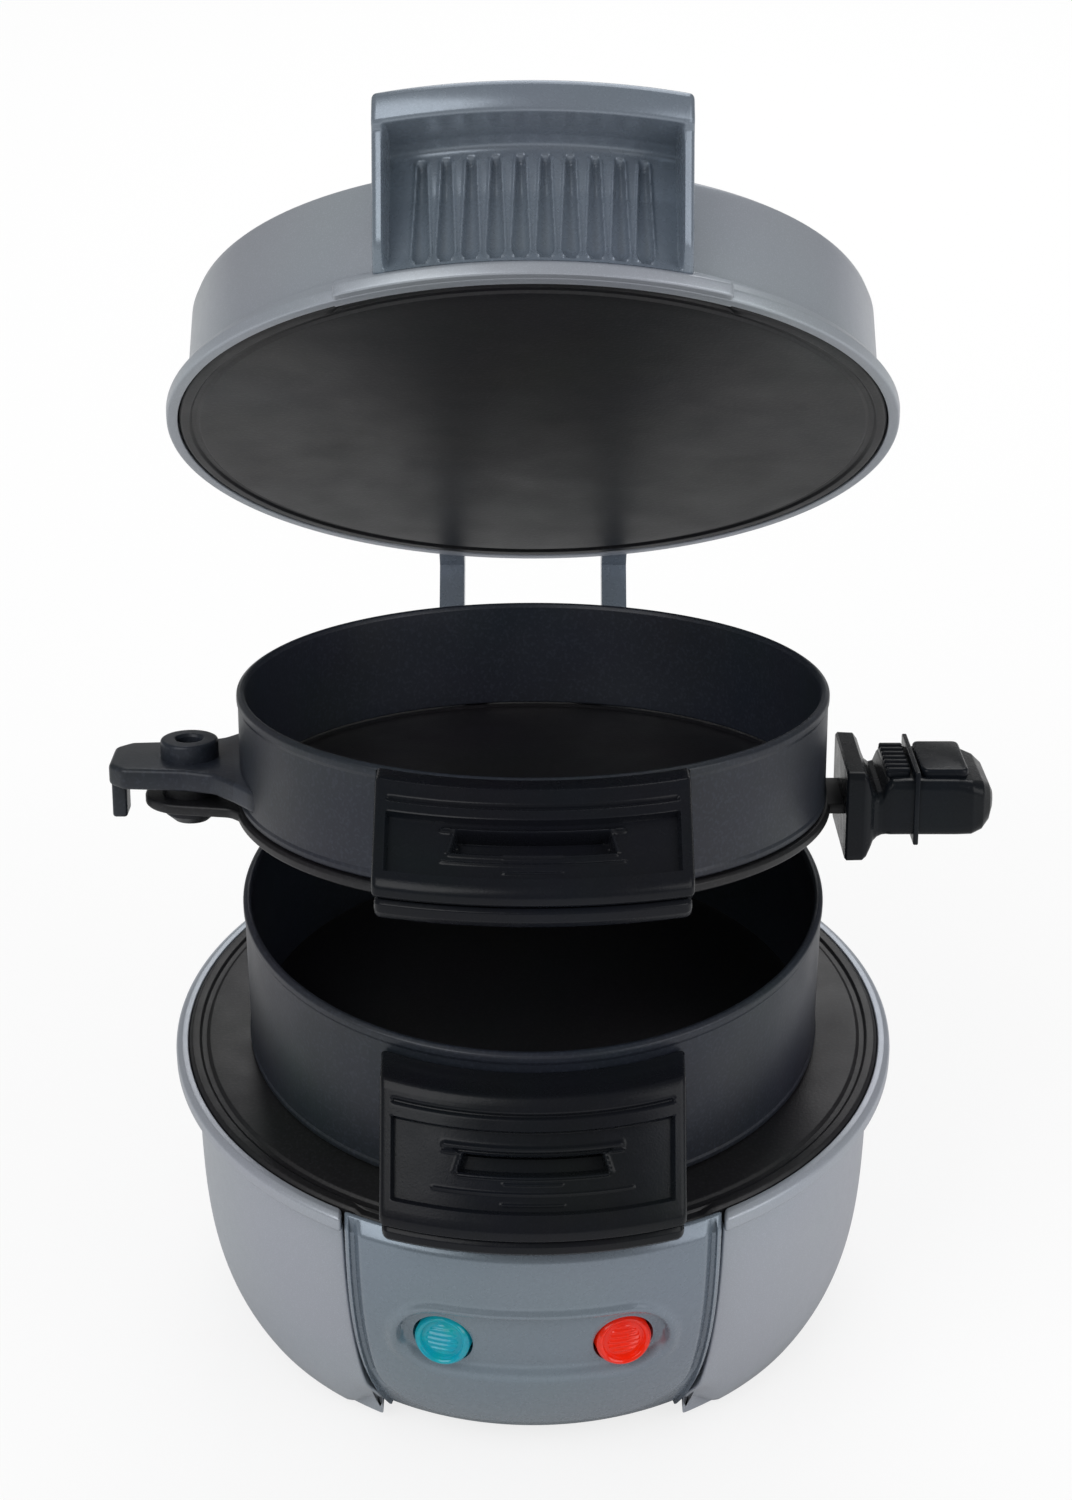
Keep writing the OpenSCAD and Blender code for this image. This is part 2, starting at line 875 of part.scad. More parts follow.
module cooking_plate() {
    color(coating)
        opened(ring_open)
            difference() {
                union() {
                    rotate_extrude()
                        polygon([[0, plate_z + 0.5], [plate_r - 5, plate_z + 0.5], [plate_r - 5.6, plate_z],
                            [plate_r - 0.4, plate_z], [plate_r, plate_z + 0.4],
                            [plate_r, plate_z + plate_t - 0.4], [plate_r - 0.4, plate_z + plate_t],
                            [0, plate_z + plate_t]]);
                    translate([0, 0, plate_z]) {
                        linear_extrude(plate_t) {
                            translate([-pivot_x, 0])
                                circle(9);
                            polygon([[-44, -28], [-59, -10.5], [-pivot_x, -8.6], [-pivot_x, 8.6],
                                [-59, 10.5], [-44, 28]]);
                        }
                        translate([50, -tang_w / 2, 0])
                            cube([tang_end - 50, tang_w, plate_t]);
                    }
                    translate([-pivot_x, 0, plate_z])
                        cylinder(r = boss_r, h = ear_under - stack_gap - plate_z);
                }
                translate([-pivot_x, 0, plate_z - 1])
                    cylinder(r = stud_r + touch, h = far);
                translate([grip_screw_x, 0, plate_z - 1])
                    cylinder(r = screw_r + screw_fit, h = 5);
            }
}

module grip_outline() {
    translate([guard_x + guard_t, -grip_w / 2])
        square([grip_end - guard_x - guard_t - grip_corner, grip_w]);
    translate([guard_x + guard_t, -grip_w / 2 + grip_corner])
        square([grip_end - guard_x - guard_t, grip_w - 2 * grip_corner]);
    for (y = [-1, 1])
        translate([grip_end - grip_corner, y * (grip_w / 2 - grip_corner)])
            circle(grip_corner);
}

module plate_grip() {
    color(black)
        opened(ring_open)
            difference() {
                union() {
                    rotate([90, 0, 0])
                        translate([0, 0, -guard_w / 2])
                            linear_extrude(guard_w)
                                polygon([[guard_x, grip_z - guard_under],
                                    [guard_x + guard_t + 1.5, grip_z - guard_under],
                                    [guard_x + guard_t + 0.6, grip_z - 2.6], [guard_x + guard_t, grip_z - 1],
                                    [guard_x + guard_t, grip_z + grip_h + guard_over - 1],
                                    [guard_x + guard_t - 1, grip_z + grip_h + guard_over],
                                    [guard_x, grip_z + grip_h + guard_over]]);
                    translate([0, 0, grip_z])
                        linear_extrude(grip_h)
                            grip_outline();
                    translate([74, -grip_w / 2 - 0.8, grip_z - 1.6])
                        cube([1, grip_w + 1.6, grip_h + 2.4]);
                }
                translate([40, -tang_w / 2 - screw_fit, plate_z - screw_fit])
                    cube([tang_end - 40 + screw_fit, tang_w + 2 * screw_fit, plate_t + 2 * screw_fit]);
                translate([grip_screw_x, 0, grip_z - 5])
                    cylinder(r = screw_r + screw_fit, h = grip_h + 3);
                translate([grip_screw_x, 0, grip_z - 5])
                    cylinder(r = screw_head_r + head_fit, h = 7);
            }
}

module plate_grip_cap() {
    color(black)
        opened(ring_open)
            translate([0, 0, grip_z + grip_h + touch]) {
                translate([75.4, 0, 0])
                    linear_extrude(1.6)
                        translate([4.6, 0])
                            round_bar([9.6, grip_w - 5], 1.5);
                for (y = [-7.5 : 2.5 : 7.5])
                    translate([guard_x + guard_t + 1.5, y - 0.7, 0])
                        cube([rib_l, 1.4, 1.4]);
                translate([guard_x + guard_t + 1.5, -8.4, 0])
                    cube([rib_l, 16.8, 0.6]);
            }
}

module plate_grip_screw() {
    color(steel)
        opened(ring_open)
            translate([grip_screw_x, 0, grip_z + 2 - touch])
                screw(grip_h - 4.4);
}

module pivot_stud() {
    color(steel)
        opened(ring_open)
            translate([-pivot_x, 0, 0])
                rotate_extrude()
                    polygon([[0, plate_z - 3.6], [stud_head_r - 1.8, plate_z - 3.6],
                        [stud_head_r, plate_z - 2], [stud_head_r, plate_z - touch],
                        [stud_r, plate_z - touch], [stud_r, boss_top - 3.4], [stud_r + 0.6, boss_top - 3.4],
                        [stud_r + 0.6, boss_top - 2.6], [stud_r, boss_top - 2.2], [0, boss_top - 2.2]]);
}

// Lid

function dome_z(r) = lid_h + lid_dome * (1 - pow(r / (lid_wall_r - 3), 2));

module lid_profile(grow = 0) {
    polygon(concat(
        [[0, lid_z], [lid_rim_r + grow, lid_z], [lid_rim_r + grow, lid_z + 1.6],
            [lid_rim_r - 1 + grow, lid_z + 3.4], [lid_wall_r + 1.2 + grow, lid_z + lid_band - 0.8],
            [lid_wall_r + 0.6 + grow, lid_z + lid_band],
            [lid_wall_r + grow, lid_z + lid_h - 4], [lid_wall_r - 0.9 + grow, lid_z + lid_h - 1.4]],
        [for (r = steps(lid_wall_r - 3, 0)) [r, lid_z + dome_z(r) + grow]]
    ));
}

module lid_cover() {
    color(paint)
        opened(lid_open)
            difference() {
                union() {
                    rotate_extrude()
                        lid_profile();
                    intersection() {
                        rotate_extrude()
                            polygon([[lid_rim_r - 3, lid_z], [lid_rim_r + 1.6, lid_z],
                                [lid_rim_r + 1.6, lid_z + 2.6], [lid_rim_r - 3, lid_z + 4]]);
                        wedge(lid_tab_half, lid_z, lid_z + 5);
                    }
                }
                translate([0, 0, lid_z - 1])
                    cylinder(r = lid_heating_r + 0.2, h = heating_t + 1);
                rotate_extrude()
                    polygon(concat(
                        [[0, lid_z], [lid_heating_r - 4, lid_z], [lid_heating_r - 4, lid_z + lid_band],
                            [lid_wall_r - shell_wall, lid_z + lid_band + 3],
                            [lid_wall_r - shell_wall, lid_z + lid_h - 5]],
                        [for (r = steps(lid_wall_r - 3 - shell_wall, 0))
                            [r, lid_z + dome_z(r) - shell_wall]]
                    ));
            }
}

module lid_handle() {
    flute_turn = 2 * asin((lid_handle_half - 6.5) / (lid_wall_r + 5)) / flutes;
    color(paint_dark)
        opened(lid_open)
            difference() {
                intersection() {
                    rotate_extrude()
                        polygon([[lid_wall_r - 9, lid_z + dome_z(lid_wall_r - 9) + touch],
                            [lid_wall_r - 9, lid_z + cap_top - 0.8], [lid_wall_r - 6, lid_z + cap_top],
                            [cap_r - 1.5, lid_z + cap_top], [cap_r, lid_z + cap_top - 1.5],
                            [cap_r, lid_z + cap_top - cap_t + 1], [cap_r - 1, lid_z + cap_top - cap_t],
                            [cap_r - 3.4, lid_z + cap_top - cap_t], [cap_r - 8, lid_z + 15],
                            [lid_rim_r + 1.4, lid_z + 4.4], [lid_wall_r + 2, lid_z + 4.4]]);
                    wedge(lid_handle_half, lid_z, lid_z + 2 * far);
                }
                rotate_extrude()
                    lid_profile(touch);
                intersection() {
                    rotate_extrude()
                        polygon([[lid_wall_r + 4.4, lid_z + 5.4], [lid_wall_r + 4, lid_z + 12],
                            [lid_wall_r + 4.6, lid_z + 20], [lid_wall_r + 7, lid_z + cap_top - cap_t - 0.4],
                            [cap_r + 3, lid_z + cap_top - cap_t], [cap_r + 3, lid_z]]);
                    wedge(lid_handle_half - 3, lid_z, lid_z + far);
                }
                for (i = [0 : flutes])
                    rotate([0, 0, (i - flutes / 2) * flute_turn])
                        translate([0, -lid_wall_r - 5, lid_z + flute_z])
                            cylinder(r = flute_r, h = cap_top - cap_t - flute_z - 2);
            }
}

module upper_heating_plate() {
    color(coating)
        opened(lid_open)
            difference() {
                rotate_extrude()
                    polygon(heating_outline(lid_heating_r, lid_z, lid_heating_back));
                at_plate_screws(lid_heating_back - plate_screw_bite - 0.4)
                    cylinder(r = screw_r + screw_fit, h = 5);
            }
}

module upper_heating_element() {
    color(steel)
        opened(lid_open)
            heating_element(lid_heating_back + element_r + touch, element_pitch_r);
}

module lid_heat_shield() {
    color("silver")
        opened(lid_open)
            heat_shield(lid_heating_r, lid_dish_z, lid_dish_z + shield_t, lid_heating_back + touch);
}

module upper_thermal_fuse() {
    color("white")
        opened(lid_open)
            fuse(lid_heating_back + touch + fuse_r);
}

module upper_plate_screws() {
    color(steel)
        opened(lid_open)
            at_plate_screws(lid_dish_z + shield_t + touch)
                mirror([0, 0, 1])
                    screw(lid_dish_z + shield_t - lid_heating_back + plate_screw_bite);
}

module lid_hinge_arm() {
    color(paint_dark)
        opened(lid_open)
            difference() {
                union() {
                    knuckle(2, [[hinge_y - knuckle_r, hinge_z], [hinge_y + knuckle_r, hinge_z],
                        [hinge_y + 4, lid_z + 4], [hinge_y - 2, lid_z + 14], [lid_wall_r - 4, lid_z + 16],
                        [lid_wall_r - 4, lid_z + 2], [hinge_y - 5.5, lid_z]]);
                    along_x(-knuckle_x(2), 2 * knuckle_x(2))
                        polygon([[lid_wall_r - 4, lid_z + 5], [hinge_y - 4, lid_z + 5],
                            [hinge_y - 3, lid_z + 13], [lid_wall_r - 4, lid_z + 16]]);
                }
                rotate_extrude()
                    lid_profile(touch);
            }
}

base_shell();
front_panel();
green_lens();
red_lens();
indicator_lamps();
bottom_cover();
feet();
lower_heating_plate();
lower_heating_element();
lower_heat_shield();
thermostat();
thermal_fuse();
terminal_block();
lower_plate_screws();
bottom_screws();
hinge_tower();
hinge_pin();
cord_bushing();
lower_ring();
lower_ring_handle();
lower_handle_lip();
lower_handle_screws();
lower_ring_bracket();
top_ring();
top_ring_handle();
top_handle_lip();
top_handle_screws();
top_ring_bracket();
cooking_plate();
plate_grip();
plate_grip_cap();
plate_grip_screw();
pivot_stud();
lid_cover();
lid_handle();
upper_heating_plate();
upper_heating_element();
lid_heat_shield();
upper_thermal_fuse();
upper_plate_screws();
lid_hinge_arm();
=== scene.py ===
import json
from math import asin, cos, pi, radians, sin
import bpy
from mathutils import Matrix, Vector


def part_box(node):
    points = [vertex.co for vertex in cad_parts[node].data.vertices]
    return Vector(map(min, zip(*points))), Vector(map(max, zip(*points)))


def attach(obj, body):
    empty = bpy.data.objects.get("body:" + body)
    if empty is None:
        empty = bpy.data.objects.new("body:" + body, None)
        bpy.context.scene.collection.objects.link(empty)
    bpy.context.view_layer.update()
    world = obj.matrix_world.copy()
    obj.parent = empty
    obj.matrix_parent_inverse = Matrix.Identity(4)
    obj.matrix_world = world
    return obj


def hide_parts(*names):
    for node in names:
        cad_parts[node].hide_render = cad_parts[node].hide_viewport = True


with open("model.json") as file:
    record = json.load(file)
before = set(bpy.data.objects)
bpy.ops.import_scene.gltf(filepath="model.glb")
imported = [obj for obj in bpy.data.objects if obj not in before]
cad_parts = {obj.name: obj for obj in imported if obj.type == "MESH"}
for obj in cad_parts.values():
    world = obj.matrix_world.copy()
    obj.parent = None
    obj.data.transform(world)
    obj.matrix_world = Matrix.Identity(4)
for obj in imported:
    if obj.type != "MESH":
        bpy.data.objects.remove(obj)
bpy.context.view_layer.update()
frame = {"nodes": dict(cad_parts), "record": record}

from types import SimpleNamespace

import bmesh
import bpy
import numpy as np
from mathutils import Matrix, Vector

bl_info = {
    "name": "Breakfast sandwich maker",
    "version": (1, 0, 0),
    "blender": (4, 5, 0),
    "location": "View3D > Sidebar > Sandwich maker",
    "description": "Builds the dressed pieces of a breakfast sandwich maker around its construction",
    "category": "Add Mesh",
}

MM = 0.001

# Thickness of a heating plate and the gap round it, in millimetres.
HEATING_T = 4.2
SEAT_GAP = 0.2


# Places read from the construction, in millimetres

def span(node, axis):
    """The lowest and highest place of a construction piece along an axis."""
    low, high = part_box(node)
    return low[axis] / MM, high[axis] / MM


PIN_LOW, PIN_HIGH = span("hinge_pin", 2)
PIN_FRONT, PIN_BACK = span("hinge_pin", 1)
BASE_TOP = span("base_shell", 2)[1]
RIM_R = span("base_shell", 0)[1]
HEATING_TOP = span("lower_heating_plate", 2)[1]
HEATING_R = span("lower_heating_plate", 0)[1]
RING_LOW, RING_TOP = span("lower_ring", 2)
RING_R = span("lower_ring", 0)[1]
LID_R = span("lid_cover", 0)[1]
LID_HEATING_R = span("upper_heating_plate", 0)[1]
GRIP_END = span("plate_grip", 0)[1]
LIP_LOW, LIP_HIGH = span("lower_handle_lip", 2)


# Sizes and colours that a user would change

def length(name, description, value):
    """A length property with its default given in millimetres."""
    return bpy.props.FloatProperty(name=name, description=description, default=value * MM,
                                   unit="LENGTH", subtype="DISTANCE", precision=5)


def turn(name, description, degrees):
    """An angle property with its default given in degrees."""
    return bpy.props.FloatProperty(name=name, description=description, default=radians(degrees),
                                   unit="ROTATION", subtype="ANGLE")


def number(name, description, value):
    """A plain factor."""
    return bpy.props.FloatProperty(name=name, description=description, default=value)


def paint(name, description, value):
    """A colour property."""
    return bpy.props.FloatVectorProperty(name=name, description=description, default=value,
                                         subtype="COLOR", size=3, min=0.0, max=1.0)


class BaseSizes(bpy.types.PropertyGroup):
    """Sizes of the base and its front panel."""
    rim_r: length("Rim radius", "Outer radius of the base's rim", RIM_R)
    top: length("Rim height", "Height of the rim above the table", BASE_TOP)
    rim_band: length("Rim band", "Height of the rim's band", 4)
    wall_top_r: length("Wall top radius", "Wall radius just under the rim", 69)
    wall_foot_r: length("Wall foot radius", "Wall radius at the foot", 61)
    fullness: number("Fullness", "How full the wall's curve is", 4.6)
    wall: length("Wall", "Thickness of the moulded walls", 2.2)
    floor: length("Floor", "Height of the shell's floor above the table", 2)
    bottom_r: length("Bottom opening", "Radius of the opening in the floor", 45)
    foot_pitch_r: length("Foot pitch", "Radius at which the feet stand", 50.5)
    foot_turn: turn("Foot angle", "Angle of each foot from the front or rear", 45)
    foot_r: length("Foot radius", "Radius of a foot's lobe", 7.5)
    panel_top_half: length("Panel top", "Half width of the front panel at its top", 35.5)
    panel_foot_half: length("Panel foot", "Half width of the front panel at its foot", 28.5)
    panel_foot_r: length("Panel foot radius", "Radius of the front panel at its foot", 57)
    panel_bulge: length("Panel bulge", "How far the panel stands out from the wall at its top", 4.5)
    panel_fullness: number("Panel fullness", "How full the panel's curve is", 2.7)
    panel_gap: length("Panel gap", "Width of the groove around the panel", 0.6)
    lens_r: length("Lens radius", "Radius of an indicator lens", 5.4)
    lens_pitch: length("Lens pitch", "Distance between the lenses", 35.6)
    lens_z: length("Lens height", "Height of the lenses above the table", 34.8)
    lens_tilt: turn("Lens tilt", "Upward tilt of the lenses", 8)
    lens_seat: length("Lens seat", "Depth of the recess that the lenses sit in", 1.9)
    apron: length("Apron line", "Height of the line along the panel's foot", 7.7)


class HingeSizes(bpy.types.PropertyGroup):
    """Place of the hinge and how far the leaves stand open."""
    y: length("Pin distance", "Distance of the hinge pin behind the centre", (PIN_FRONT + PIN_BACK) / 2)
    z: length("Pin height", "Height of the hinge pin above the table", (PIN_LOW + PIN_HIGH) / 2)
    ring_open: turn("Ring opening", "Opening angle of the top ring as shown", 12)
    lid_open: turn("Lid opening", "Opening angle of the lid as shown", 47)


class RingSizes(bpy.types.PropertyGroup):
    """Sizes of the two rings and the cooking plate."""
    ring_r: length("Ring radius", "Outer radius of both rings", RING_R)
    wall: length("Ring wall", "Wall thickness of a ring", 1.8)
    low: length("Lower ring foot", "Height of the lower ring's foot", RING_LOW)
    lower_top: length("Lower ring top", "Height of the lower ring's rim", RING_TOP)
    top_h: length("Top ring height", "Height of the top ring", 22)
    gap: length("Gap", "Gap between the stacked pieces", 0.3)
    plate_t: length("Plate thickness", "Thickness of the cooking plate", 2.2)
    plate_r: length("Plate radius", "Radius of the cooking plate", 58.6)
    pivot_x: length("Pivot distance", "Distance of the plate's pivot to the left of the centre", 67.6)
    boss_r: length("Boss radius", "Radius of the boss on the top ring's ear", 5.7)
    grip_end: length("Grip end", "Distance of the grip's outer end from the centre", GRIP_END)
    grip_w: length("Grip width", "Width of the plate's grip", 23)
    grip_h: length("Grip height", "Height of the plate's grip", 11.5)


class HandleSizes(bpy.types.PropertyGroup):
    """Sizes of the handles on the rings."""
    half: length("Half width", "Half width of a ring handle", 28.2)
    foot_r: length("Foot radius", "Radius of a handle's lower front edge", 80)
    lower_top_r: length("Lower top radius", "Radius of the lower handle's top edge", 65.5)
    lower_drop: length("Lower drop", "Drop of the lower handle's top below its rim", 3.7)
    upper_top_r: length("Top radius", "Radius of the top handle's top edge", 63)
    lip: length("Lip", "Thickness of a handle's bottom lip", LIP_HIGH - LIP_LOW)


class LidSizes(bpy.types.PropertyGroup):
    """Sizes of the lid and its handle."""
    rim_r: length("Rim radius", "Outer radius of the lid's rim", LID_R)
    wall_r: length("Wall radius", "Wall radius of the lid", 69)
    height: length("Wall height", "Height of the lid's wall", 26)
    dome: length("Dome", "Height of the dome above the wall", 4.5)
    band: length("Band", "Height of the flared band at the rim", 6.4)
    handle_half: length("Handle half width", "Half width of the lid's handle", 29)
    cap_r: length("Cap radius", "Radius that the handle's cap reaches", 86)
    cap_top: length("Cap height", "Height of the cap's top above the lid's rim", 33)
    cap_t: length("Cap thickness", "Thickness of the cap", 6.4)
    tab_out: length("Rim tab", "How far the rim's tab reaches beside the handle", 7.4)
    flutes: bpy.props.IntProperty(name="Flutes", description="Number of flutes in the grip", default=10)


class FinishColours(bpy.types.PropertyGroup):
    """Colours of the finishes."""
    shell: paint("Shell paint", "Silver paint of the base and lid", (0.400, 0.430, 0.480))
    # This colour also paints the lid's grip, where its darker tone is painted shade for the grip's recess.
    panel: paint("Panel paint", "Darker paint of the front panel", (0.215, 0.258, 0.310))
    coating: paint("Ring coating", "Charcoal coating of the rings", (0.021, 0.025, 0.035))
    non_stick: paint("Non-stick", "Black coating of the plates", (0.014, 0.014, 0.016))
    plastic: paint("Handle plastic", "Black plastic of the handles", (0.008, 0.009, 0.012))
    green: paint("Ready lamp", "Teal lens", (0.003, 0.28, 0.36))
    red: paint("Power lamp", "Red lens", (0.72, 0.016, 0.003))


class StageSettings(bpy.types.PropertyGroup):
    """Camera and light."""
    distance: length("Camera distance", "Distance of the camera from its aim", 593)
    elevation: turn("Camera elevation", "Elevation of the camera", 30.65)
    aim: length("Aim height", "Height of the point that the camera looks at", 124.6)
    lens: number("Focal length", "Focal length for a frame 36 mm tall", 73.08)
    shift: number("Shift", "Sideways shift of the frame", 0.002)
    key: number("Key light", "Power of the key light in watts", 6.5)
    fill: number("Fill light", "Power of the fill light in watts", 3.6)
    back: number("Back light", "Power of the back light in watts", 4.5)
    sky: number("Sky", "Strength of the surrounding light", 0.64)


GROUPS = {"maker_base": BaseSizes, "maker_hinge": HingeSizes, "maker_rings": RingSizes,
          "maker_handles": HandleSizes, "maker_lid": LidSizes, "maker_finish": FinishColours,
          "maker_stage": StageSettings}


def sizes(name):
    """A property group's values, with lengths in millimetres."""
    group = getattr(bpy.context.scene, name)
    values = {}
    for prop in group.bl_rna.properties:
        if prop.identifier in ("rna_type", "name"):
            continue
        value = getattr(group, prop.identifier)
        is_length = getattr(prop, "unit", "NONE") == "LENGTH"
        values[prop.identifier] = value / MM if is_length else value
    return SimpleNamespace(**values)


# Heights of the stack, worked out from the sizes

def stack():
    """Heights of the stacked pieces when everything is closed."""
    ring = sizes("maker_rings")
    plate = ring.lower_top + ring.gap
    top = plate + ring.plate_t + ring.gap
    top_top = top + ring.top_h
    return SimpleNamespace(plate=plate, top=top, top_top=top_top, lid=top_top + ring.gap,
                           ear=top + 2.6, ear_t=4.4, boss_top=top + 10.6, grip=plate - 3.4)


# Shapes

def smooth(value, low, high):
    """Soft step from 0 at low to 1 at high."""
    t = np.clip((np.asarray(value, float) - low) / (high - low), 0, 1)
    return t * t * (3 - 2 * t)


def window(value, low, high, soft):
    """1 between low and high with soft sides outside them."""
    return smooth(value, low - soft, low) * (1 - smooth(value, high, high + soft))


def ridge(value, middle, width):
    """1 on a line, falling off softly to both sides."""
    return np.exp(-((value - middle) / width) ** 2)


def risen(low, high, share, fullness):
    """A bulging rise from low to high, for a share of the height from 0 to 1."""
    return low + (high - low) * (1 - np.maximum(0, 1 - share) ** fullness)


def quarter(edge, steps):
    """The two insets of a rounded edge at each step of its quarter turn."""
    angles = [pi / 2 * k / steps for k in range(steps + 1)]
    return [(edge * (1 - sin(angle)), edge * (1 - cos(angle))) for angle in angles]


def rounded(points, radius, steps=5, closed=True):
    """An outline with its corners rounded. A point may give its own radius as a third number."""
    corners = [np.array(p[:2], float) for p in points]
    radii = [p[2] if len(p) > 2 else radius for p in points]
    count = len(corners)
    outline = []
    for i, corner in enumerate(corners):
        if not closed and i in (0, count - 1) or radii[i] <= 0:
            outline.append(corner)
            continue
        before = corners[i - 1] - corner
        after = corners[(i + 1) % count] - corner
        long_before, long_after = np.linalg.norm(before), np.linalg.norm(after)
        bend = np.clip(before @ after / (long_before * long_after), -1, 1)
        half_angle = np.arccos(bend) / 2
        reach = min(radii[i] / max(np.tan(half_angle), 1e-6), 0.49 * long_before, 0.49 * long_after)
        start = corner + before / long_before * reach
        end = corner + after / long_after * reach
        for t in np.linspace(0, 1, steps + 1):
            outline.append((1 - t) ** 2 * start + 2 * t * (1 - t) * corner + t * t * end)
    return np.array(outline)


def refined(outline, step, closed=True):
    """The outline with its long stretches divided."""
    result = []
    count = len(outline)
    last = count if closed else count - 1
    for i in range(last):
        a, b = outline[i], outline[(i + 1) % count]
        parts = max(1, int(np.ceil(np.linalg.norm(b - a) / step)))
        result.extend(a + (b - a) * k / parts for k in range(parts))
    if not closed:
        result.append(outline[-1])
    return np.array(result)


def outward(outline):
    """Unit normals of a closed outline, pointing out of it."""
    ahead = np.roll(outline, -1, axis=0) - outline
    behind = outline - np.roll(outline, 1, axis=0)
    ahead = ahead / np.maximum(np.linalg.norm(ahead, axis=1, keepdims=True), 1e-9)
    behind = behind / np.maximum(np.linalg.norm(behind, axis=1, keepdims=True), 1e-9)
    along = ahead + behind
    along = along / np.maximum(np.linalg.norm(along, axis=1, keepdims=True), 1e-9)
    x, y = outline[:, 0], outline[:, 1]
    area = np.sum(x * np.roll(y, -1) - y * np.roll(x, -1))
    side = 1 if area > 0 else -1
    return side * np.column_stack([along[:, 1], -along[:, 0]])


def skin(loops, ring=False):
    """A closed surface through loops with as many points each, capped unless it closes in a ring."""
    loops = [np.asarray(loop, float) for loop in loops]
    n = len(loops[0])
    verts = np.concatenate(loops)
    faces = []
    for i in range(len(loops) - (not ring)):
        a, b = i * n, (i + 1) % len(loops) * n
        for j in range(n):
            k = (j + 1) % n
            faces.append((a + j, a + k, b + k, b + j))
    if not ring:
        faces.append(tuple(range(n)))
        faces.append(tuple(range(len(verts) - 1, len(verts) - n - 1, -1)))
    return verts, faces


def revolve(profile, segments=144):
    """A profile of radius and height turned about the upright axis."""
    angles = np.linspace(0, 2 * pi, segments, endpoint=False)
    return skin([[(r * sin(angle), -r * cos(angle), z) for r, z in profile] for angle in angles], ring=True)


def prism(outline, low, high):
    """An outline in plan raised from low to high."""
    return skin([[(x, y, z) for x, y in outline] for z in (low, high)])


def oblong(x_low, x_high, y_low, y_high, corner, steps=4):
    """The outline of a rectangle with rounded corners."""
    return rounded([(x_low, y_low), (x_high, y_low), (x_high, y_high), (x_low, y_high)], corner, steps)


def slab(outline, low, high, edge, steps=3):
    """An outline in plan raised from low to high, with rounded edges."""
    inward = -outward(outline)
    levels = [(inset, low + rise) for inset, rise in quarter(edge, steps)]
    levels += [(inset, high + low - z) for inset, z in reversed(levels)]
    return skin([np.column_stack([outline + inward * inset, np.full(len(outline), z)]) for inset, z in levels])


def across(outline, x_low, x_high, edge=0.5, steps=3):
    """An outline of depth and height drawn along X, with rounded edges."""
    verts, faces = slab(np.asarray(outline), x_low, x_high, edge, steps)
    return verts[:, [2, 0, 1]], faces


def columns(half, step, edge, steps=4):
    """Places and insets of the columns across a handle with rounded sides."""
    inner = half - edge
    places = [(x, 0.0) for x in np.linspace(-inner, inner, max(2, int(2 * inner / step) + 1))]
    side = [(half - short, inset) for short, inset in quarter(edge, steps)[1:]]
    return [(-x, inset) for x, inset in reversed(side)] + places + side


def in_front(x, r, z):
    """Points at X and a height, on the front of circles about the upright axis."""
    return np.column_stack([np.broadcast_to(x, r.shape), -np.sqrt(np.maximum(r ** 2 - x * x, 1)), z])


def arched(profile, half, step, edge, relief=None):
    """A profile of radius and height drawn across X, following the curve of the rings."""
    normals = outward(profile)
    loops = []
    for x, inset in columns(half, step, edge):
        offset = np.full(len(profile), -inset)
        if relief is not None:
            offset = offset + relief(x)
        shape = profile + normals * offset[:, None]
        loops.append(in_front(x, shape[:, 0], shape[:, 1]))
    return skin(loops)


def moved(part, matrix):
    """A part with its points moved by a matrix given in millimetres."""
    verts, faces = part
    return np.array([matrix @ Vector(v) for v in verts]), faces


def shifted(part, x):
    """A part moved along X."""
    verts, faces = part
    return verts + np.array([x, 0, 0]), faces


def opened(verts, angle):
    """Points turned about the hinge pin by its opening angle."""
    hinge = sizes("maker_hinge")
    y, z = verts[:, 1] - hinge.y, verts[:, 2] - hinge.z
    return np.column_stack([verts[:, 0], hinge.y + cos(angle) * y + sin(angle) * z,
                            hinge.z - sin(angle) * y + cos(angle) * z])


def piece(name, parts, finish, body, stands_for, angle=0.0, sharp=38):
    """Makes one piece from closed parts in millimetres, finished and fixed to its body."""
    work = bmesh.new()
    for verts, faces in parts:
        verts = opened(np.asarray(verts, float), angle) * MM
        made = [work.verts.new(v) for v in verts]
        for face in faces:
            work.faces.new([made[i] for i in face])
    bmesh.ops.remove_doubles(work, verts=work.verts, dist=1e-7)
    bmesh.ops.recalc_face_normals(work, faces=work.faces)
    mesh = bpy.data.meshes.new(name)
    work.to_mesh(mesh)
    work.free()
    mesh.shade_smooth()
    mesh.set_sharp_from_angle(angle=radians(sharp))
    made = bpy.data.objects.new(name, mesh)
    bpy.context.scene.collection.objects.link(made)
    made.data.materials.append(finished(finish))
    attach(made, body)
    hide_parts(*stands_for)
    return made


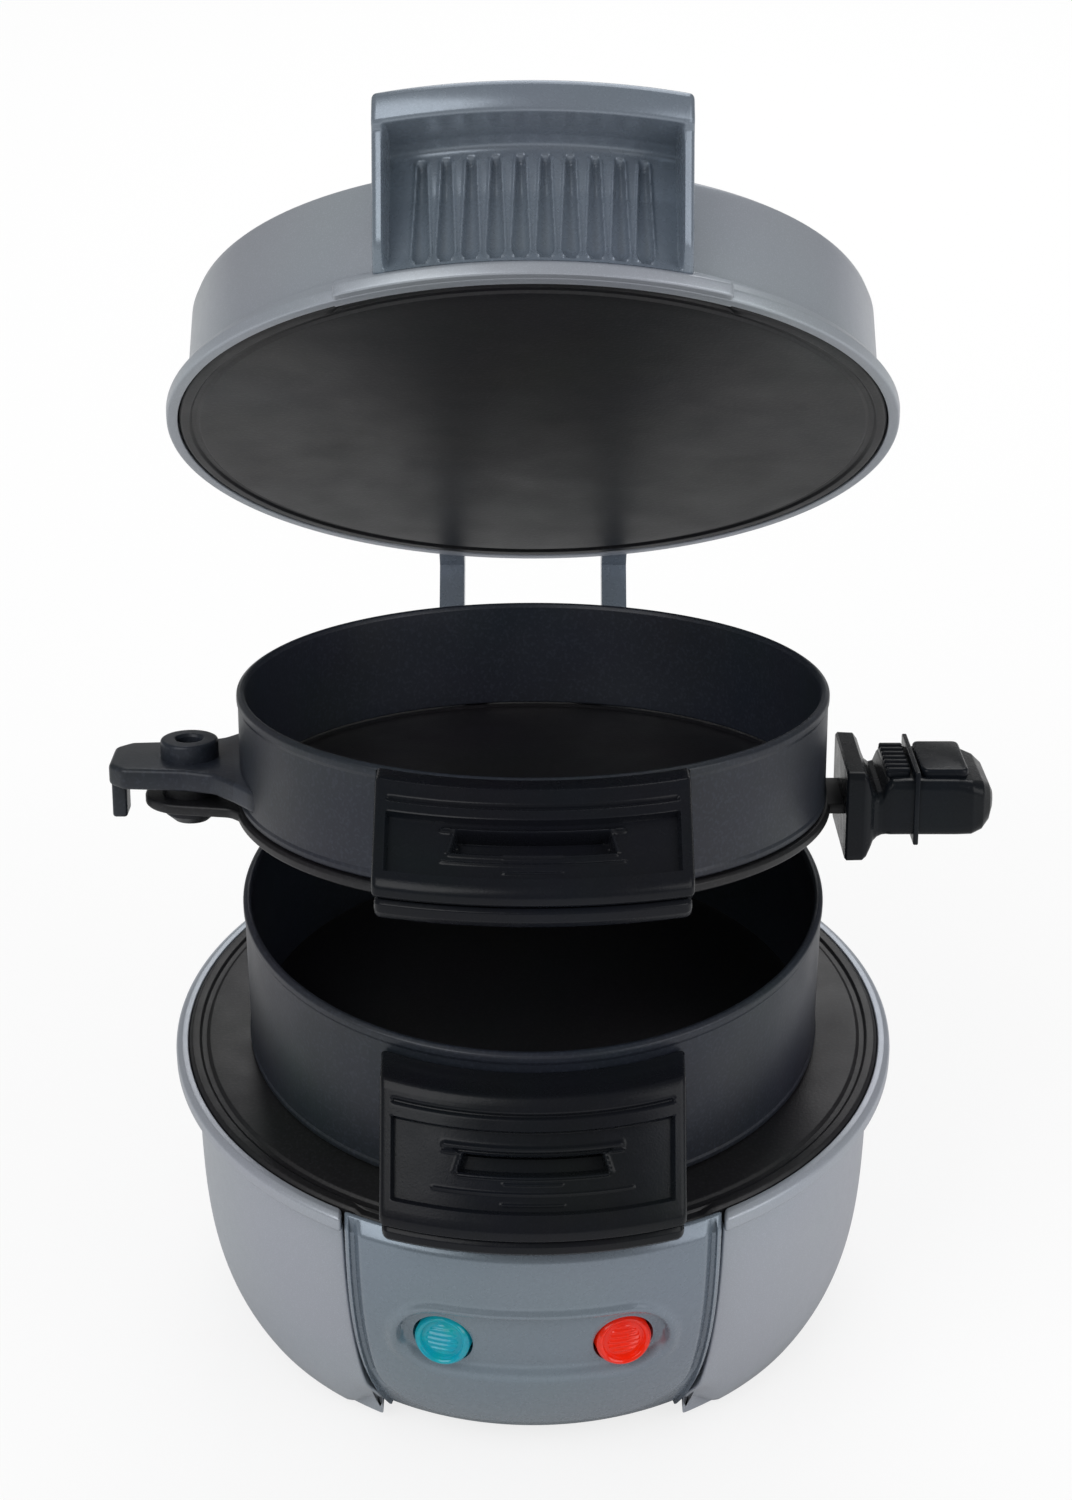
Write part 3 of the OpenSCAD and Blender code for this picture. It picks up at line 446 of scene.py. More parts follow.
def cut(part, cutters):
    """A part with the cutters taken out of it by exact booleans."""
    shapes = []
    for verts, faces in [part, *cutters]:
        mesh = bpy.data.meshes.new("shape")
        mesh.from_pydata([tuple(v) for v in verts], [], [tuple(f) for f in faces])
        work = bmesh.new()
        work.from_mesh(mesh)
        bmesh.ops.remove_doubles(work, verts=work.verts, dist=1e-5)
        bmesh.ops.recalc_face_normals(work, faces=work.faces)
        work.to_mesh(mesh)
        work.free()
        shape = bpy.data.objects.new("shape", mesh)
        bpy.context.scene.collection.objects.link(shape)
        shapes.append(shape)
    body = shapes[0]
    for cutter in shapes[1:]:
        step = body.modifiers.new("cut", "BOOLEAN")
        step.operation = "DIFFERENCE"
        step.solver = "EXACT"
        step.object = cutter
    graph = bpy.context.evaluated_depsgraph_get()
    result = bpy.data.meshes.new_from_object(body.evaluated_get(graph))
    verts = np.array([tuple(v.co) for v in result.vertices])
    faces = [tuple(p.vertices) for p in result.polygons]
    for shape in shapes:
        bpy.data.meshes.remove(shape.data)
    bpy.data.meshes.remove(result)
    return verts, faces


# Shared shader effects

def node_group(name, inputs, outputs):
    """A new shader group, what it is given and what it puts out."""
    group = bpy.data.node_groups.new(name, "ShaderNodeTree")
    for label, kind, value in inputs:
        socket = group.interface.new_socket(name=label, in_out="INPUT", socket_type=kind)
        socket.default_value = value
    for label, kind in outputs:
        group.interface.new_socket(name=label, in_out="OUTPUT", socket_type=kind)
    return group, group.nodes.new("NodeGroupInput").outputs, group.nodes.new("NodeGroupOutput").inputs


def feed(tree, socket, value):
    """Links an input to another node's output, or sets it to a value."""
    if hasattr(value, "node"):
        tree.links.new(value, socket)
    else:
        socket.default_value = value


def noise(group, scale, detail):
    """A noise texture on the object's own coordinates."""
    node = group.nodes.new("ShaderNodeTexNoise")
    group.links.new(group.nodes.new("ShaderNodeTexCoord").outputs["Object"], node.inputs["Vector"])
    feed(group, node.inputs["Scale"], scale)
    node.inputs["Detail"].default_value = detail
    return node.outputs


def stretched(group, value, low, high):
    """A value stretched so that low becomes 0 and high becomes 1."""
    node = group.nodes.new("ShaderNodeMapRange")
    node.inputs["From Min"].default_value = low
    node.inputs["From Max"].default_value = high
    group.links.new(value, node.inputs["Value"])
    return node.outputs[0]


def math_node(tree, operation, first, second, clamp=False):
    """A math node of two values or sockets."""
    node = tree.nodes.new("ShaderNodeMath")
    node.operation = operation
    node.use_clamp = clamp
    feed(tree, node.inputs[0], first)
    feed(tree, node.inputs[1], second)
    return node.outputs[0]


def mix_colour(tree, factor, first, second, blend="MIX"):
    """A mix of two colours."""
    node = tree.nodes.new("ShaderNodeMix")
    node.data_type = "RGBA"
    node.blend_type = blend
    for index, value in ((0, factor), (6, first), (7, second)):
        feed(tree, node.inputs[index], value)
    return node.outputs[2]


def make_mottle_group():
    """Soft clouds and fine specks of a second colour."""
    group, given, result = node_group(
        "mottled_coating",
        [("Colour", "NodeSocketColor", (0.5, 0.5, 0.5, 1)), ("Speck Colour", "NodeSocketColor", (1, 1, 1, 1)),
         ("Cloud Scale", "NodeSocketFloat", 60.0), ("Cloud Amount", "NodeSocketFloat", 0.1),
         ("Speck Scale", "NodeSocketFloat", 2500.0), ("Speck Amount", "NodeSocketFloat", 0.2)],
        [("Colour", "NodeSocketColor")])
    clouds = noise(group, given["Cloud Scale"], 3.0)
    specks = stretched(group, noise(group, given["Speck Scale"], 1.0)[0], 0.52, 0.68)
    dark = mix_colour(group, 1.0, given["Colour"], clouds["Color"], "SOFT_LIGHT")
    grey = group.nodes.new("ShaderNodeRGBToBW")
    group.links.new(clouds["Color"], grey.inputs[0])
    cloudy = math_node(group, "MULTIPLY", given["Cloud Amount"], grey.outputs[0])
    softened = mix_colour(group, cloudy, given["Colour"], dark)
    amount = math_node(group, "MULTIPLY", specks, given["Speck Amount"])
    group.links.new(mix_colour(group, amount, softened, given["Speck Colour"]), result["Colour"])
    return group


def make_grain_group():
    """Moulded grain: a height for the bump and a roughness that varies with it."""
    group, given, result = node_group(
        "moulded_grain",
        [("Grain Scale", "NodeSocketFloat", 1800.0), ("Wave Scale", "NodeSocketFloat", 120.0),
         ("Wave Share", "NodeSocketFloat", 0.3), ("Roughness", "NodeSocketFloat", 0.4),
         ("Roughness Spread", "NodeSocketFloat", 0.1)],
        [("Height", "NodeSocketFloat"), ("Roughness", "NodeSocketFloat")])
    waves = noise(group, given["Wave Scale"], 2.0)[0]
    mixed = group.nodes.new("ShaderNodeMix")
    group.links.new(given["Wave Share"], mixed.inputs[0])
    group.links.new(noise(group, given["Grain Scale"], 2.0)[0], mixed.inputs[2])
    group.links.new(waves, mixed.inputs[3])
    group.links.new(mixed.outputs[0], result["Height"])
    spread = math_node(group, "MULTIPLY", math_node(group, "SUBTRACT", waves, 0.5), given["Roughness Spread"])
    group.links.new(math_node(group, "ADD", spread, given["Roughness"], True), result["Roughness"])
    return group


def make_wear_and_highlight_group():
    """Paler convex edges: rubbed wear, and a painted highlight along the rounded edges."""
    group, given, result = node_group(
        "rubbed_edges",
        [("Colour", "NodeSocketColor", (0.5, 0.5, 0.5, 1)), ("Worn Colour", "NodeSocketColor", (1, 1, 1, 1)),
         ("Amount", "NodeSocketFloat", 0.3), ("Patch Scale", "NodeSocketFloat", 90.0)],
        [("Colour", "NodeSocketColor")])
    patches = noise(group, given["Patch Scale"], 4.0)[0]
    # Convex edges lightened in colour: partly rubbed wear, partly a painted highlight where light catches the
    # rounded edges.
    geometry = group.nodes.new("ShaderNodeNewGeometry")
    edge = stretched(group, geometry.outputs["Pointiness"], 0.53, 0.62)
    worn = math_node(group, "MULTIPLY", edge, patches)
    amount = math_node(group, "MULTIPLY", worn, given["Amount"], True)
    group.links.new(mix_colour(group, amount, given["Colour"], given["Worn Colour"]), result["Colour"])
    return group


SHARED = {"mottled_coating": make_mottle_group, "moulded_grain": make_grain_group,
          "rubbed_edges": make_wear_and_highlight_group}


def shared(tree, name, **values):
    """A shared group placed in a material with its own values."""
    node = tree.nodes.new("ShaderNodeGroup")
    node.node_tree = bpy.data.node_groups.get(name) or SHARED[name]()
    for label, value in values.items():
        feed(tree, node.inputs[label.replace("_", " ")], value)
    return node.outputs


def rgba(colour, factor=1.0):
    """A colour with alpha, scaled."""
    return (*(min(1.0, c * factor) for c in colour[:3]), 1.0)


def look(speck, clouds, specks, grain, depth, worn=None, metallic=0.0, specular=0.5, coat=0.0,
         coat_roughness=0.1, glow=0.0):
    """A kind of finish: its specks' brightness, mottling, grain, edges lightened by rubbed wear and a painted
    highlight, and gloss.
    """
    return SimpleNamespace(speck=speck, clouds=clouds, specks=specks, grain=grain, depth=depth, worn=worn,
                           metallic=metallic, specular=specular, coat=coat, coat_roughness=coat_roughness,
                           glow=glow)


# Scale and amount of clouds and specks; grain's scale, waves' scale and share, spread of the roughness;
# lightened edges' brightness, amount and patch scale, the edges being rubbed wear and painted highlight.
SATIN_PAINT = look(1.7, (14.0, 0.25), (4200.0, 0.18), (3000.0, 420.0, 0.6, 0.12), 0.01, (1.5, 0.25, 60.0),
                   metallic=0.35, coat=0.25, coat_roughness=0.22)
PLASTIC = look(1.8, (40.0, 0.5), (2600.0, 0.2), (2600.0, 260.0, 0.35, 0.16), 0.03, (4.0, 0.5, 120.0),
               specular=0.2)
RUBBER = look(1.8, (40.0, 0.5), (1600.0, 0.2), (1600.0, 260.0, 0.35, 0.16), 0.03, (4.0, 0.5, 120.0),
              specular=0.2)
RING_COATING = look(2.2, (30.0, 0.5), (1500.0, 0.35), (1500.0, 90.0, 0.25, 0.2), 0.035, (3.0, 0.35, 80.0),
                    metallic=0.15)
PLATE_COATING = look(2.5, (30.0, 0.5), (1500.0, 0.35), (1500.0, 90.0, 0.25, 0.2), 0.035, (3.0, 0.35, 80.0),
                     metallic=0.15)
STEEL = look(0.6, (80.0, 0.6), (900.0, 0.25), (1400.0, 300.0, 0.5, 0.25), 0.01, metallic=1.0)
LAMP_LENS = look(1.6, (220.0, 0.6), (1600.0, 0.2), (1200.0, 300.0, 0.5, 0.1), 0.02,
                 specular=0.45, coat=0.25, coat_roughness=0.08, glow=0.22)
CERAMIC = look(0.6, (120.0, 0.7), (2000.0, 0.3), (2400.0, 200.0, 0.3, 0.15), 0.04, specular=0.3)

# Kind of finish, colour or the name of its property, and roughness of each slot.
FINISHES = {
    "shell_paint": (SATIN_PAINT, "shell", 0.36),
    # The panel paint also goes on the lid's grip, as painted shade.
    "panel_paint": (SATIN_PAINT, "panel", 0.27),
    "ring_coating": (RING_COATING, "coating", 0.4),
    "plate_coating": (PLATE_COATING, "non_stick", 0.42),
    "handle_plastic": (PLASTIC, "plastic", 0.26),
    "cover_plastic": (PLASTIC, "plastic", 0.5),
    "rubber": (RUBBER, "plastic", 0.75),
    "steel": (STEEL, (0.62, 0.63, 0.65), 0.3),
    "dark_steel": (STEEL, (0.045, 0.045, 0.05), 0.42),
    "shield_steel": (STEEL, (0.7, 0.7, 0.7), 0.4),
    "element_steel": (STEEL, (0.32, 0.3, 0.28), 0.5),
    "green_lens": (LAMP_LENS, "green", 0.16),
    "red_lens": (LAMP_LENS, "red", 0.16),
    "ceramic": (CERAMIC, (0.72, 0.7, 0.64), 0.7),
}


def emptied(owner):
    """The cleared node tree of a material or a world."""
    owner.use_nodes = True
    owner.node_tree.nodes.clear()
    return owner.node_tree


def surface(name):
    """A material with an empty surface, and its tree and shader."""
    material = bpy.data.materials.new(name)
    tree = emptied(material)
    shader = tree.nodes.new("ShaderNodeBsdfPrincipled")
    output = tree.nodes.new("ShaderNodeOutputMaterial")
    tree.links.new(shader.outputs[0], output.inputs["Surface"])
    return material, tree, shader


def finished(slot):
    """The material of a finish, made the first time it is asked for."""
    name = "maker_" + slot
    if name in bpy.data.materials:
        return bpy.data.materials[name]
    kind, colour, roughness = FINISHES[slot]
    if isinstance(colour, str):
        colour = getattr(bpy.context.scene.maker_finish, colour)
    material, tree, shader = surface(name)
    for label, value in (("Metallic", kind.metallic), ("Specular IOR Level", kind.specular),
                         ("Coat Weight", kind.coat), ("Coat Roughness", kind.coat_roughness)):
        shader.inputs[label].default_value = value
    shade = shared(tree, "mottled_coating", Colour=rgba(colour), Speck_Colour=rgba(colour, kind.speck),
                   Cloud_Scale=kind.clouds[0], Cloud_Amount=kind.clouds[1],
                   Speck_Scale=kind.specks[0], Speck_Amount=kind.specks[1])["Colour"]
    # Lighter edges: rubbed wear together with a painted highlight.
    if kind.worn:
        brightness, amount, patches = kind.worn
        shade = shared(tree, "rubbed_edges", Colour=shade, Worn_Colour=rgba(colour, brightness),
                       Amount=amount, Patch_Scale=patches)["Colour"]
    if kind.glow:
        tree.links.new(shade, shader.inputs["Emission Color"])
        shader.inputs["Emission Strength"].default_value = kind.glow
    scale, waves, share, spread = kind.grain
    grain = shared(tree, "moulded_grain", Grain_Scale=scale, Wave_Scale=waves, Wave_Share=share,
                   Roughness=roughness, Roughness_Spread=spread)
    bump = tree.nodes.new("ShaderNodeBump")
    bump.inputs["Distance"].default_value = kind.depth * MM
    bump.inputs["Strength"].default_value = 1.0
    tree.links.new(grain["Height"], bump.inputs["Height"])
    for label, value in (("Base Color", shade), ("Roughness", grain["Roughness"]), ("Normal", bump.outputs[0])):
        tree.links.new(value, shader.inputs[label])
    return material


# Base

def wall_top(base):
    """Height at which the wall meets the rim's band."""
    return base.top - base.rim_band - 2


def wall_r(base, z):
    """Radius of the base's wall at a height."""
    return risen(base.wall_foot_r, base.wall_top_r, z / wall_top(base), base.fullness)


def panel_r(base, z):
    """Radius of the front panel at a height."""
    return risen(base.panel_foot_r, base.wall_top_r + base.panel_bulge, z / wall_top(base), base.panel_fullness)


def panel_half(base, z):
    """Half width of the front panel at a height."""
    return risen(base.panel_foot_half, base.panel_top_half, z / base.top, base.panel_fullness)


def seat(base):
    """Outline of the step that the lower heating plate lies on, from the rim inwards."""
    inner_r, ledge = HEATING_R + SEAT_GAP, HEATING_TOP - HEATING_T
    return [(inner_r, base.top, 0.35), (inner_r, ledge, 0.3), (inner_r - 4, ledge, 0.5)]


def shell_profile(base):
    """Closed outline of the base's wall."""
    top, band = wall_top(base), base.top - base.rim_band
    outer = [(base.bottom_r, base.floor, 0.4), (wall_r(base, base.floor) - 0.6, base.floor, 0.9)]
    outer += [(wall_r(base, z), z, 0) for z in np.linspace(base.floor + 1.2, top - 1, 40)]
    outer += [(base.wall_top_r + 0.3, top + 0.4, 0.6), (base.rim_r - 0.5, band + 0.2, 0.7),
              (base.rim_r, band + 1, 0.6), (base.rim_r, base.top - 0.7, 1.0), (base.rim_r - 1.2, base.top, 0.8)]
    inner = [(wall_r(base, z) - base.wall, z, 0) for z in np.linspace(top - 7, base.floor + base.wall + 1, 14)]
    inner += [(wall_r(base, base.floor) - base.wall - 1, base.floor + base.wall, 0.5),
              (base.bottom_r, base.floor + base.wall, 0.4)]
    return rounded(outer + seat(base) + inner, 0, steps=4)


LOBE_FLARE = 2.5


def lobe_reach(base, angle, z):
    """How far out the feet's lobes push the wall."""
    push = np.zeros_like(z)
    for turn_to_foot in (base.foot_turn, pi - base.foot_turn, pi + base.foot_turn, 2 * pi - base.foot_turn):
        off = (angle - turn_to_foot + pi) % (2 * pi) - pi
        side = np.abs(base.foot_pitch_r * np.sin(off))
        reach = base.foot_pitch_r * np.cos(off) + np.sqrt(np.maximum(base.foot_r ** 2 - side ** 2, 0))
        reach = reach - 6 * smooth(side, base.foot_r - 1.5, base.foot_r + LOBE_FLARE) ** 2
        push = np.maximum(push, np.where(side < base.foot_r + LOBE_FLARE, reach, 0))
    return push


CORNER_LIFT = 4.6
LOBE_DROP = 0.8


def base_shell_part(base):
    """The base's wall, open at the front for the panel, with rounded edges and foot lobes."""
    profile = shell_profile(base)
    normals = outward(profile)
    outer = profile[:, 0] > wall_r(base, profile[:, 1]) - 0.9
    edge = 0.8
    curve = [(shift, inset) for inset, shift in quarter(edge, 5)[:-1]]
    rows = [(0.0, shift, inset) for shift, inset in curve]
    rows += [(share, edge, 0.0) for share in np.linspace(0, 1, 260)]
    rows += [(1.0, shift, inset) for shift, inset in reversed(curve)]
    loops = []
    for share, shift, inset in rows:
        r, z = (profile - normals * inset).T
        gap = np.arcsin(np.clip((panel_half(base, z) + base.panel_gap) / r, 0, 0.95)) + shift / r
        angle = gap + share * (2 * pi - 2 * gap)
        near = (angle - gap) * r if share < 0.5 else (2 * pi - gap - angle) * r
        push = lobe_reach(base, angle, z)
        r = r + np.maximum(push - r, 0) * (1 - smooth(z, base.floor + 1.5, base.floor + 8)) * outer
        under = smooth(push, r - 4, r) * (1 - smooth(z, base.floor + 0.5, base.floor + 3)) * outer
        lift = (1 - smooth(near, 0, 8)) * (1 - smooth(z, base.floor + 1, base.floor + 14)) * outer
        z = z - LOBE_DROP * under + CORNER_LIFT * lift
        loops.append(np.column_stack([r * np.sin(angle), -r * np.cos(angle), z]))
    return skin(loops)


def panel_profile(base):
    """Closed outline of the front panel's wall."""
    top = wall_top(base)
    top_r = panel_r(base, top)
    outer = [(base.bottom_r, base.floor, 0.4), (panel_r(base, base.floor) - 0.4, base.floor, 0.8)]
    outer += [(panel_r(base, z), z, 0) for z in np.linspace(base.floor + 1.2, top - 1.6, 150)]
    outer += [(top_r, base.top - 2.6, 2.4), (top_r - 2.2, base.top, 1.6)]
    inner = [(min(wall_r(base, z), panel_r(base, z)) - base.wall, z, 0)
             for z in np.linspace(top - 7, base.floor + base.wall + 1, 12)]
    inner += [(base.bottom_r, base.floor + base.wall, 0.4)]
    return rounded(outer + seat(base) + inner, 0, steps=4)


def box_distance(x, z, half_x, half_z, radius):
    """Signed distance to a rounded rectangle, negative inside."""
    over_x = np.abs(x) - half_x + radius
    over_z = np.abs(z) - half_z + radius
    outside = np.sqrt(np.maximum(over_x, 0) ** 2 + np.maximum(over_z, 0) ** 2)
    return outside + np.minimum(np.maximum(over_x, over_z), 0) - radius


RECESS = SimpleNamespace(past_lens=8.2, half_height=9.1, corner=8.6, ledge=0.85, dish=0.3)
APRON = SimpleNamespace(margin=2.3, corner=13, tall=40, step=0.9, line=0.5)


def panel_relief(base, x, z):
    """How far the front panel stands out around the lenses and above its apron."""
    recess = box_distance(x, z - base.lens_z, base.lens_pitch / 2 + RECESS.past_lens, RECESS.half_height,
                          RECESS.corner)
    above = smooth(z - base.lens_z, -8, 2)
    soft = 0.9 + 2.6 * (1 - above)
    pressed = base.lens_seat * (1 - smooth(recess / soft, -1, 0.1))
    raised = RECESS.ledge * ridge(recess, 0.9, 1.0) * above
    apron = box_distance(x, z - base.apron - APRON.tall, panel_half(base, z) - APRON.margin, APRON.tall,
                         APRON.corner)
    raised = raised - APRON.step * smooth(apron, -0.6, 0.6) - APRON.line * ridge(apron, 0.3, 0.6)
    for side in (-1, 1):
        off = np.sqrt((x - side * base.lens_pitch / 2) ** 2 + (z - base.lens_z) ** 2)
        raised = raised - RECESS.dish * (1 - smooth(off, base.lens_r + 0.6, base.lens_r + 1.5))
    return raised - pressed


def panel_part(base):
    """The front panel with its pressed recess and rounded sides."""
    profile = panel_profile(base)
    normals = outward(profile)
    z = profile[:, 1]
    outer = profile[:, 0] > panel_r(base, z) - 1.5
    edge = 1.1
    sides = quarter(edge, 6)[:0:-1]
    rows = [(-1, margin, inset) for margin, inset in sides]
    rows += [(share, edge, 0.0) for share in np.linspace(-1, 1, 190)]
    rows += [(1, margin, inset) for margin, inset in reversed(sides)]
    loops = []
    for share, margin, inset in rows:
        x = share * (panel_half(base, z) - margin)
        offset = -np.where(outer, inset, inset * 0.4)
        offset = offset + np.where(outer & (inset == 0), panel_relief(base, x, z), 0)
        shape = profile + normals * offset[:, None]
        loops.append(in_front(x, shape[:, 0], shape[:, 1]))
    return skin(loops)


def lens_place(base, side):
    """The matrix that seats a lens in the panel."""
    r = float(panel_r(base, base.lens_z))
    return (Matrix.Rotation(side * asin(base.lens_pitch / 2 / r), 4, "Z")
            @ Matrix.Translation((0, -r, base.lens_z)) @ Matrix.Rotation(pi / 2 - base.lens_tilt, 4, "X"))


LENS = SimpleNamespace(depth=7, collar=4, rib=0.3, rib_pitch=1.05, sunk=0.7, play=0.55)


def lens_part(base, side):
    """A lens with a rounded rim, a groove and fine ribs across its face."""
    r = base.lens_r
    face = r - 1.6
    rim = rounded([(0, -LENS.depth), (r - 0.8, -LENS.depth, 0.3), (r - 0.8, -LENS.collar, 0.2),
                   (r, -LENS.collar, 0.2), (r, 0.7, 0.5), (r - 0.6, 1.5, 0.4), (r - 1.15, 1.1, 0.3),
                   (r - 1.4, 0.4, 0.2)], 0.3, steps=4, closed=False)
    profile = [*rim, *((q, 0.4 + 0.5 * (1 - (q / face) ** 2)) for q in np.linspace(face, 0, 60))]
    verts, faces = revolve(profile)
    reach = np.hypot(verts[:, 0], verts[:, 1])
    ribs = (0.5 + 0.5 * np.cos(verts[:, 1] * 2 * pi / LENS.rib_pitch)) * (1 - smooth(reach, r - 2.6, r - 2.1))
    verts[:, 2] += LENS.rib * ribs * (verts[:, 2] > 0) - base.lens_seat - LENS.sunk
    return moved((verts, faces), lens_place(base, side))


def lens_hole(base, side):
    """The cutter for a lens's hole in the panel."""
    r = base.lens_r + LENS.play
    circle = [(cos(a) * r, sin(a) * r) for a in np.linspace(0, 2 * pi, 72, endpoint=False)]
    return moved(prism(circle, -12, 12), lens_place(base, side))


BEAD = 0.5
NOTCH_DEPTH = 0.9
LOWER_NOTCH_HALF, UPPER_NOTCH_HALF = 33, 36


def heating_part(radius, face, back, notch_half):
    """A heating plate with a bead at its edge and a step at the handle."""
    side = 1 if back > face else -1
    bead = face + side * BEAD
    profile = rounded([(0, face), (radius - 4.2, face, 0.5), (radius - 3.6, bead, 0.3),
                       (radius - 2.6, bead, 0.3), (radius - 2.1, face, 0.4), (radius - 0.6, face, 0.5),
                       (radius, face + side * 0.6, 0.4), (radius, back, 0.3), (0, back)], 0.3, 4, closed=False)
    verts, faces = revolve(refined(profile, 3.0, closed=False), 288)
    reach = np.hypot(verts[:, 0], verts[:, 1])
    near = (verts[:, 1] < 0) * (1 - smooth(np.abs(verts[:, 0]), notch_half - 0.3, notch_half + 0.3))
    drop = near * smooth(reach, radius - 2.4, radius - 1.9) * (np.abs(verts[:, 2] - face) < 1.2)
    verts[:, 2] += side * drop * NOTCH_DEPTH
    return verts, faces


# Rings

ROLLED_RIM = 0.25


def ring_part(ring, low, high):
    """A ring's wall with a rolled rim."""
    out, inside = ring.ring_r, ring.ring_r - ring.wall
    waist = out - ROLLED_RIM
    profile = rounded([(inside, low, 0.5), (out - 0.1, low, 0.5), (out, low + 1.2, 0.4),
                       (waist, low + 1.8, 0.3), (waist, high - 2.4, 0.4), (out, high - 1.7, 0.5),
                       (out, high - 0.5, 0.6), (out - 0.8, high, 0.5), (inside + 0.4, high, 0.5),
                       (inside, high - 0.8, 0.5)], 0.4, 4)
    return revolve(refined(profile, 4), 192)


FACE_STEP = 0.2
FACE_SHARE = 0.985


def handle_profile(foot_r, ring_r, top_r, top_h, foot_z):
    """Closed outline of a ring handle, the place along its face of each point, or -1, and the face's length."""
    start = np.array([top_r + 1.2, top_h - 1.2])
    end = np.array([foot_r - 0.8, foot_z + 3.6])
    face_length = float(np.linalg.norm(end - start))
    count = int(face_length / FACE_STEP)
    shares = [FACE_SHARE * k / count for k in range(1, count)]
    body = rounded([start + (end - start) * FACE_SHARE, (foot_r - 0.1, foot_z + 2.4, 2.2),
                    (foot_r - 0.2, foot_z + 0.7, 0.5), (foot_r - 0.8, foot_z + 0.15, 0.3),
                    (ring_r + 0.05, foot_z + 0.15, 0.3), (ring_r + 0.05, top_h, 0.4),
                    (top_r, top_h, 1.5), start], 0.4, 6, closed=False)
    outline = np.array([start + (end - start) * share for share in shares] + list(body))
    place = np.array([face_length * share for share in shares] + [-1] * len(body))
    return outline, place, face_length


# How far each feature of a handle's face stands out (+) or lies in (-), in millimetres.
PRESSED = SimpleNamespace(recess=-1.45, groove=-0.7, bar=0.55, slot=-3.0, scoop=-0.5, frame=0.45, rib=0.32)

# Places as shares of the face's length, and half widths in millimetres.
LOWER_FACE = SimpleNamespace(recess=(0.23, 0.88), groove=0.085, bar=0.365, bar_half=16.9, slot=(0.44, 0.565),
                             slot_half=12.9, frame_half=26.0,
                             ribs=((0.655, 5.7), (0.735, 18.6), (0.826, 6.0)))
UPPER_FACE = SimpleNamespace(recess=(0.26, 0.88), groove=0.1, bar=0.345, bar_half=16.4, slot=(0.385, 0.57),
                             slot_half=13.6, frame_half=26.0, ribs=((0.62, 5.5), (0.70, 16.4), (0.79, 5.5)))


def handle_relief(plan, face_length, place):
    """The pressed face of a ring handle: frame, step, slot and ribs."""
    s = np.clip(place, 0, None)
    t = s / face_length
    low, high = plan.slot

    def line(share, width, x, half, soft):
        return ridge(s, share * face_length, width) * (1 - smooth(x, half - soft, half))

    def relief(x):
        x = abs(x)
        inner = window(x, -1, plan.frame_half - 0.5, 0.6)
        slot_half = plan.slot_half + 0.9 * (t - low) / (high - low)
        scoop_half = plan.bar_half - 0.8 - 3.0 * np.clip((t - plan.bar) / (low - plan.bar), 0, 1)
        total = PRESSED.recess * window(t, *plan.recess, 0.02) * inner
        total += PRESSED.groove * ridge(s, plan.groove * face_length, 0.4) * inner
        total += PRESSED.bar * line(plan.bar, 0.55, x, plan.bar_half, 0.6)
        total += PRESSED.slot * window(t, low, high, 0.018) * smooth(slot_half - x, 0, 0.5)
        total += PRESSED.scoop * window(t, plan.bar + 0.035, low, 0.01) * smooth(scoop_half - x, 0, 0.6)
        total += PRESSED.frame * ridge(s, low * face_length - 0.5, 0.25) * (x < slot_half.max())
        total += PRESSED.frame * ridge(s, high * face_length + 0.8, 0.28) * (x < plan.slot_half + 1.2)
        total += PRESSED.frame * ridge(x, slot_half + 0.4, 0.32) * window(t, low - 0.02, high + 0.02, 0.01)
        for rib, half in plan.ribs:
            total += PRESSED.rib * line(rib, 0.24, x, half, 0.3)
        return np.where(place >= 0, total, 0)

    return relief


def handle_part(handle, ring, top_r, top_h, foot_z, plan):
    """A ring handle with its pressed face."""
    outline, place, face_length = handle_profile(handle.foot_r, ring.ring_r, top_r, top_h, foot_z)
    return arched(outline, handle.half, 0.3, 0.9, handle_relief(plan, face_length, place))


def lip_part(handle, ring, foot_z):
    """The lip screwed under a ring handle."""
    low, top, back = foot_z - handle.lip, foot_z - 0.25, ring.ring_r + 2.5
    profile = rounded([(back, low, 0.5), (handle.foot_r - 2.0, low, 1.6), (handle.foot_r - 0.6, low + 1.6, 0.8),
                       (handle.foot_r - 0.5, top - 0.7, 0.5), (handle.foot_r - 1.2, top, 0.3),
                       (back, top, 0.4)], 0.4, 5)
    return arched(refined(profile, 4), handle.half - 0.4, 1.5, 1.2)


def ear_parts(ring, level):
    """The top ring's ear with its boss and tab."""
    end, top = ring.pivot_x + 15.4, level.ear + 1
    side = [(-52, 24, 2), (-57.6, 16.5, 3), (-62, 11.5, 4), (-68, 9.4, 4), (-end + 3, 8.4, 2.5),
            (-end, 5.4, 2.5)]
    mirrored = [(x, -y, radius) for x, y, radius in side]
    outline = rounded([*mirrored, *reversed(side), (-56.6, 0, 0)], 1, 6)[::-1]
    ear = slab(outline, level.ear, level.ear + level.ear_t, 0.9, 4)
    boss = revolve(rounded([(2.5, top, 0.3), (ring.boss_r, top, 0.3), (ring.boss_r, level.boss_top, 0.8),
                            (2.9, level.boss_top, 0.4), (2.5, level.boss_top - 0.6, 0.2)], 0.3, 4), 64)
    tab = rounded([(-3, level.top - 5, 0.8), (3, level.top - 5, 0.8), (3, top, 0.3), (-3, top, 0.3)], 0.6, 4)
    tab = across(tab, -end + 0.1, -end + 3.0, 0.6)
    return [ear, shifted(boss, -ring.pivot_x), tab]


# Lid

def dome_z(lid, r):
    """Height of the lid's dome above its rim."""
    return lid.height + lid.dome * (1 - (r / (lid.wall_r - 3)) ** 2)


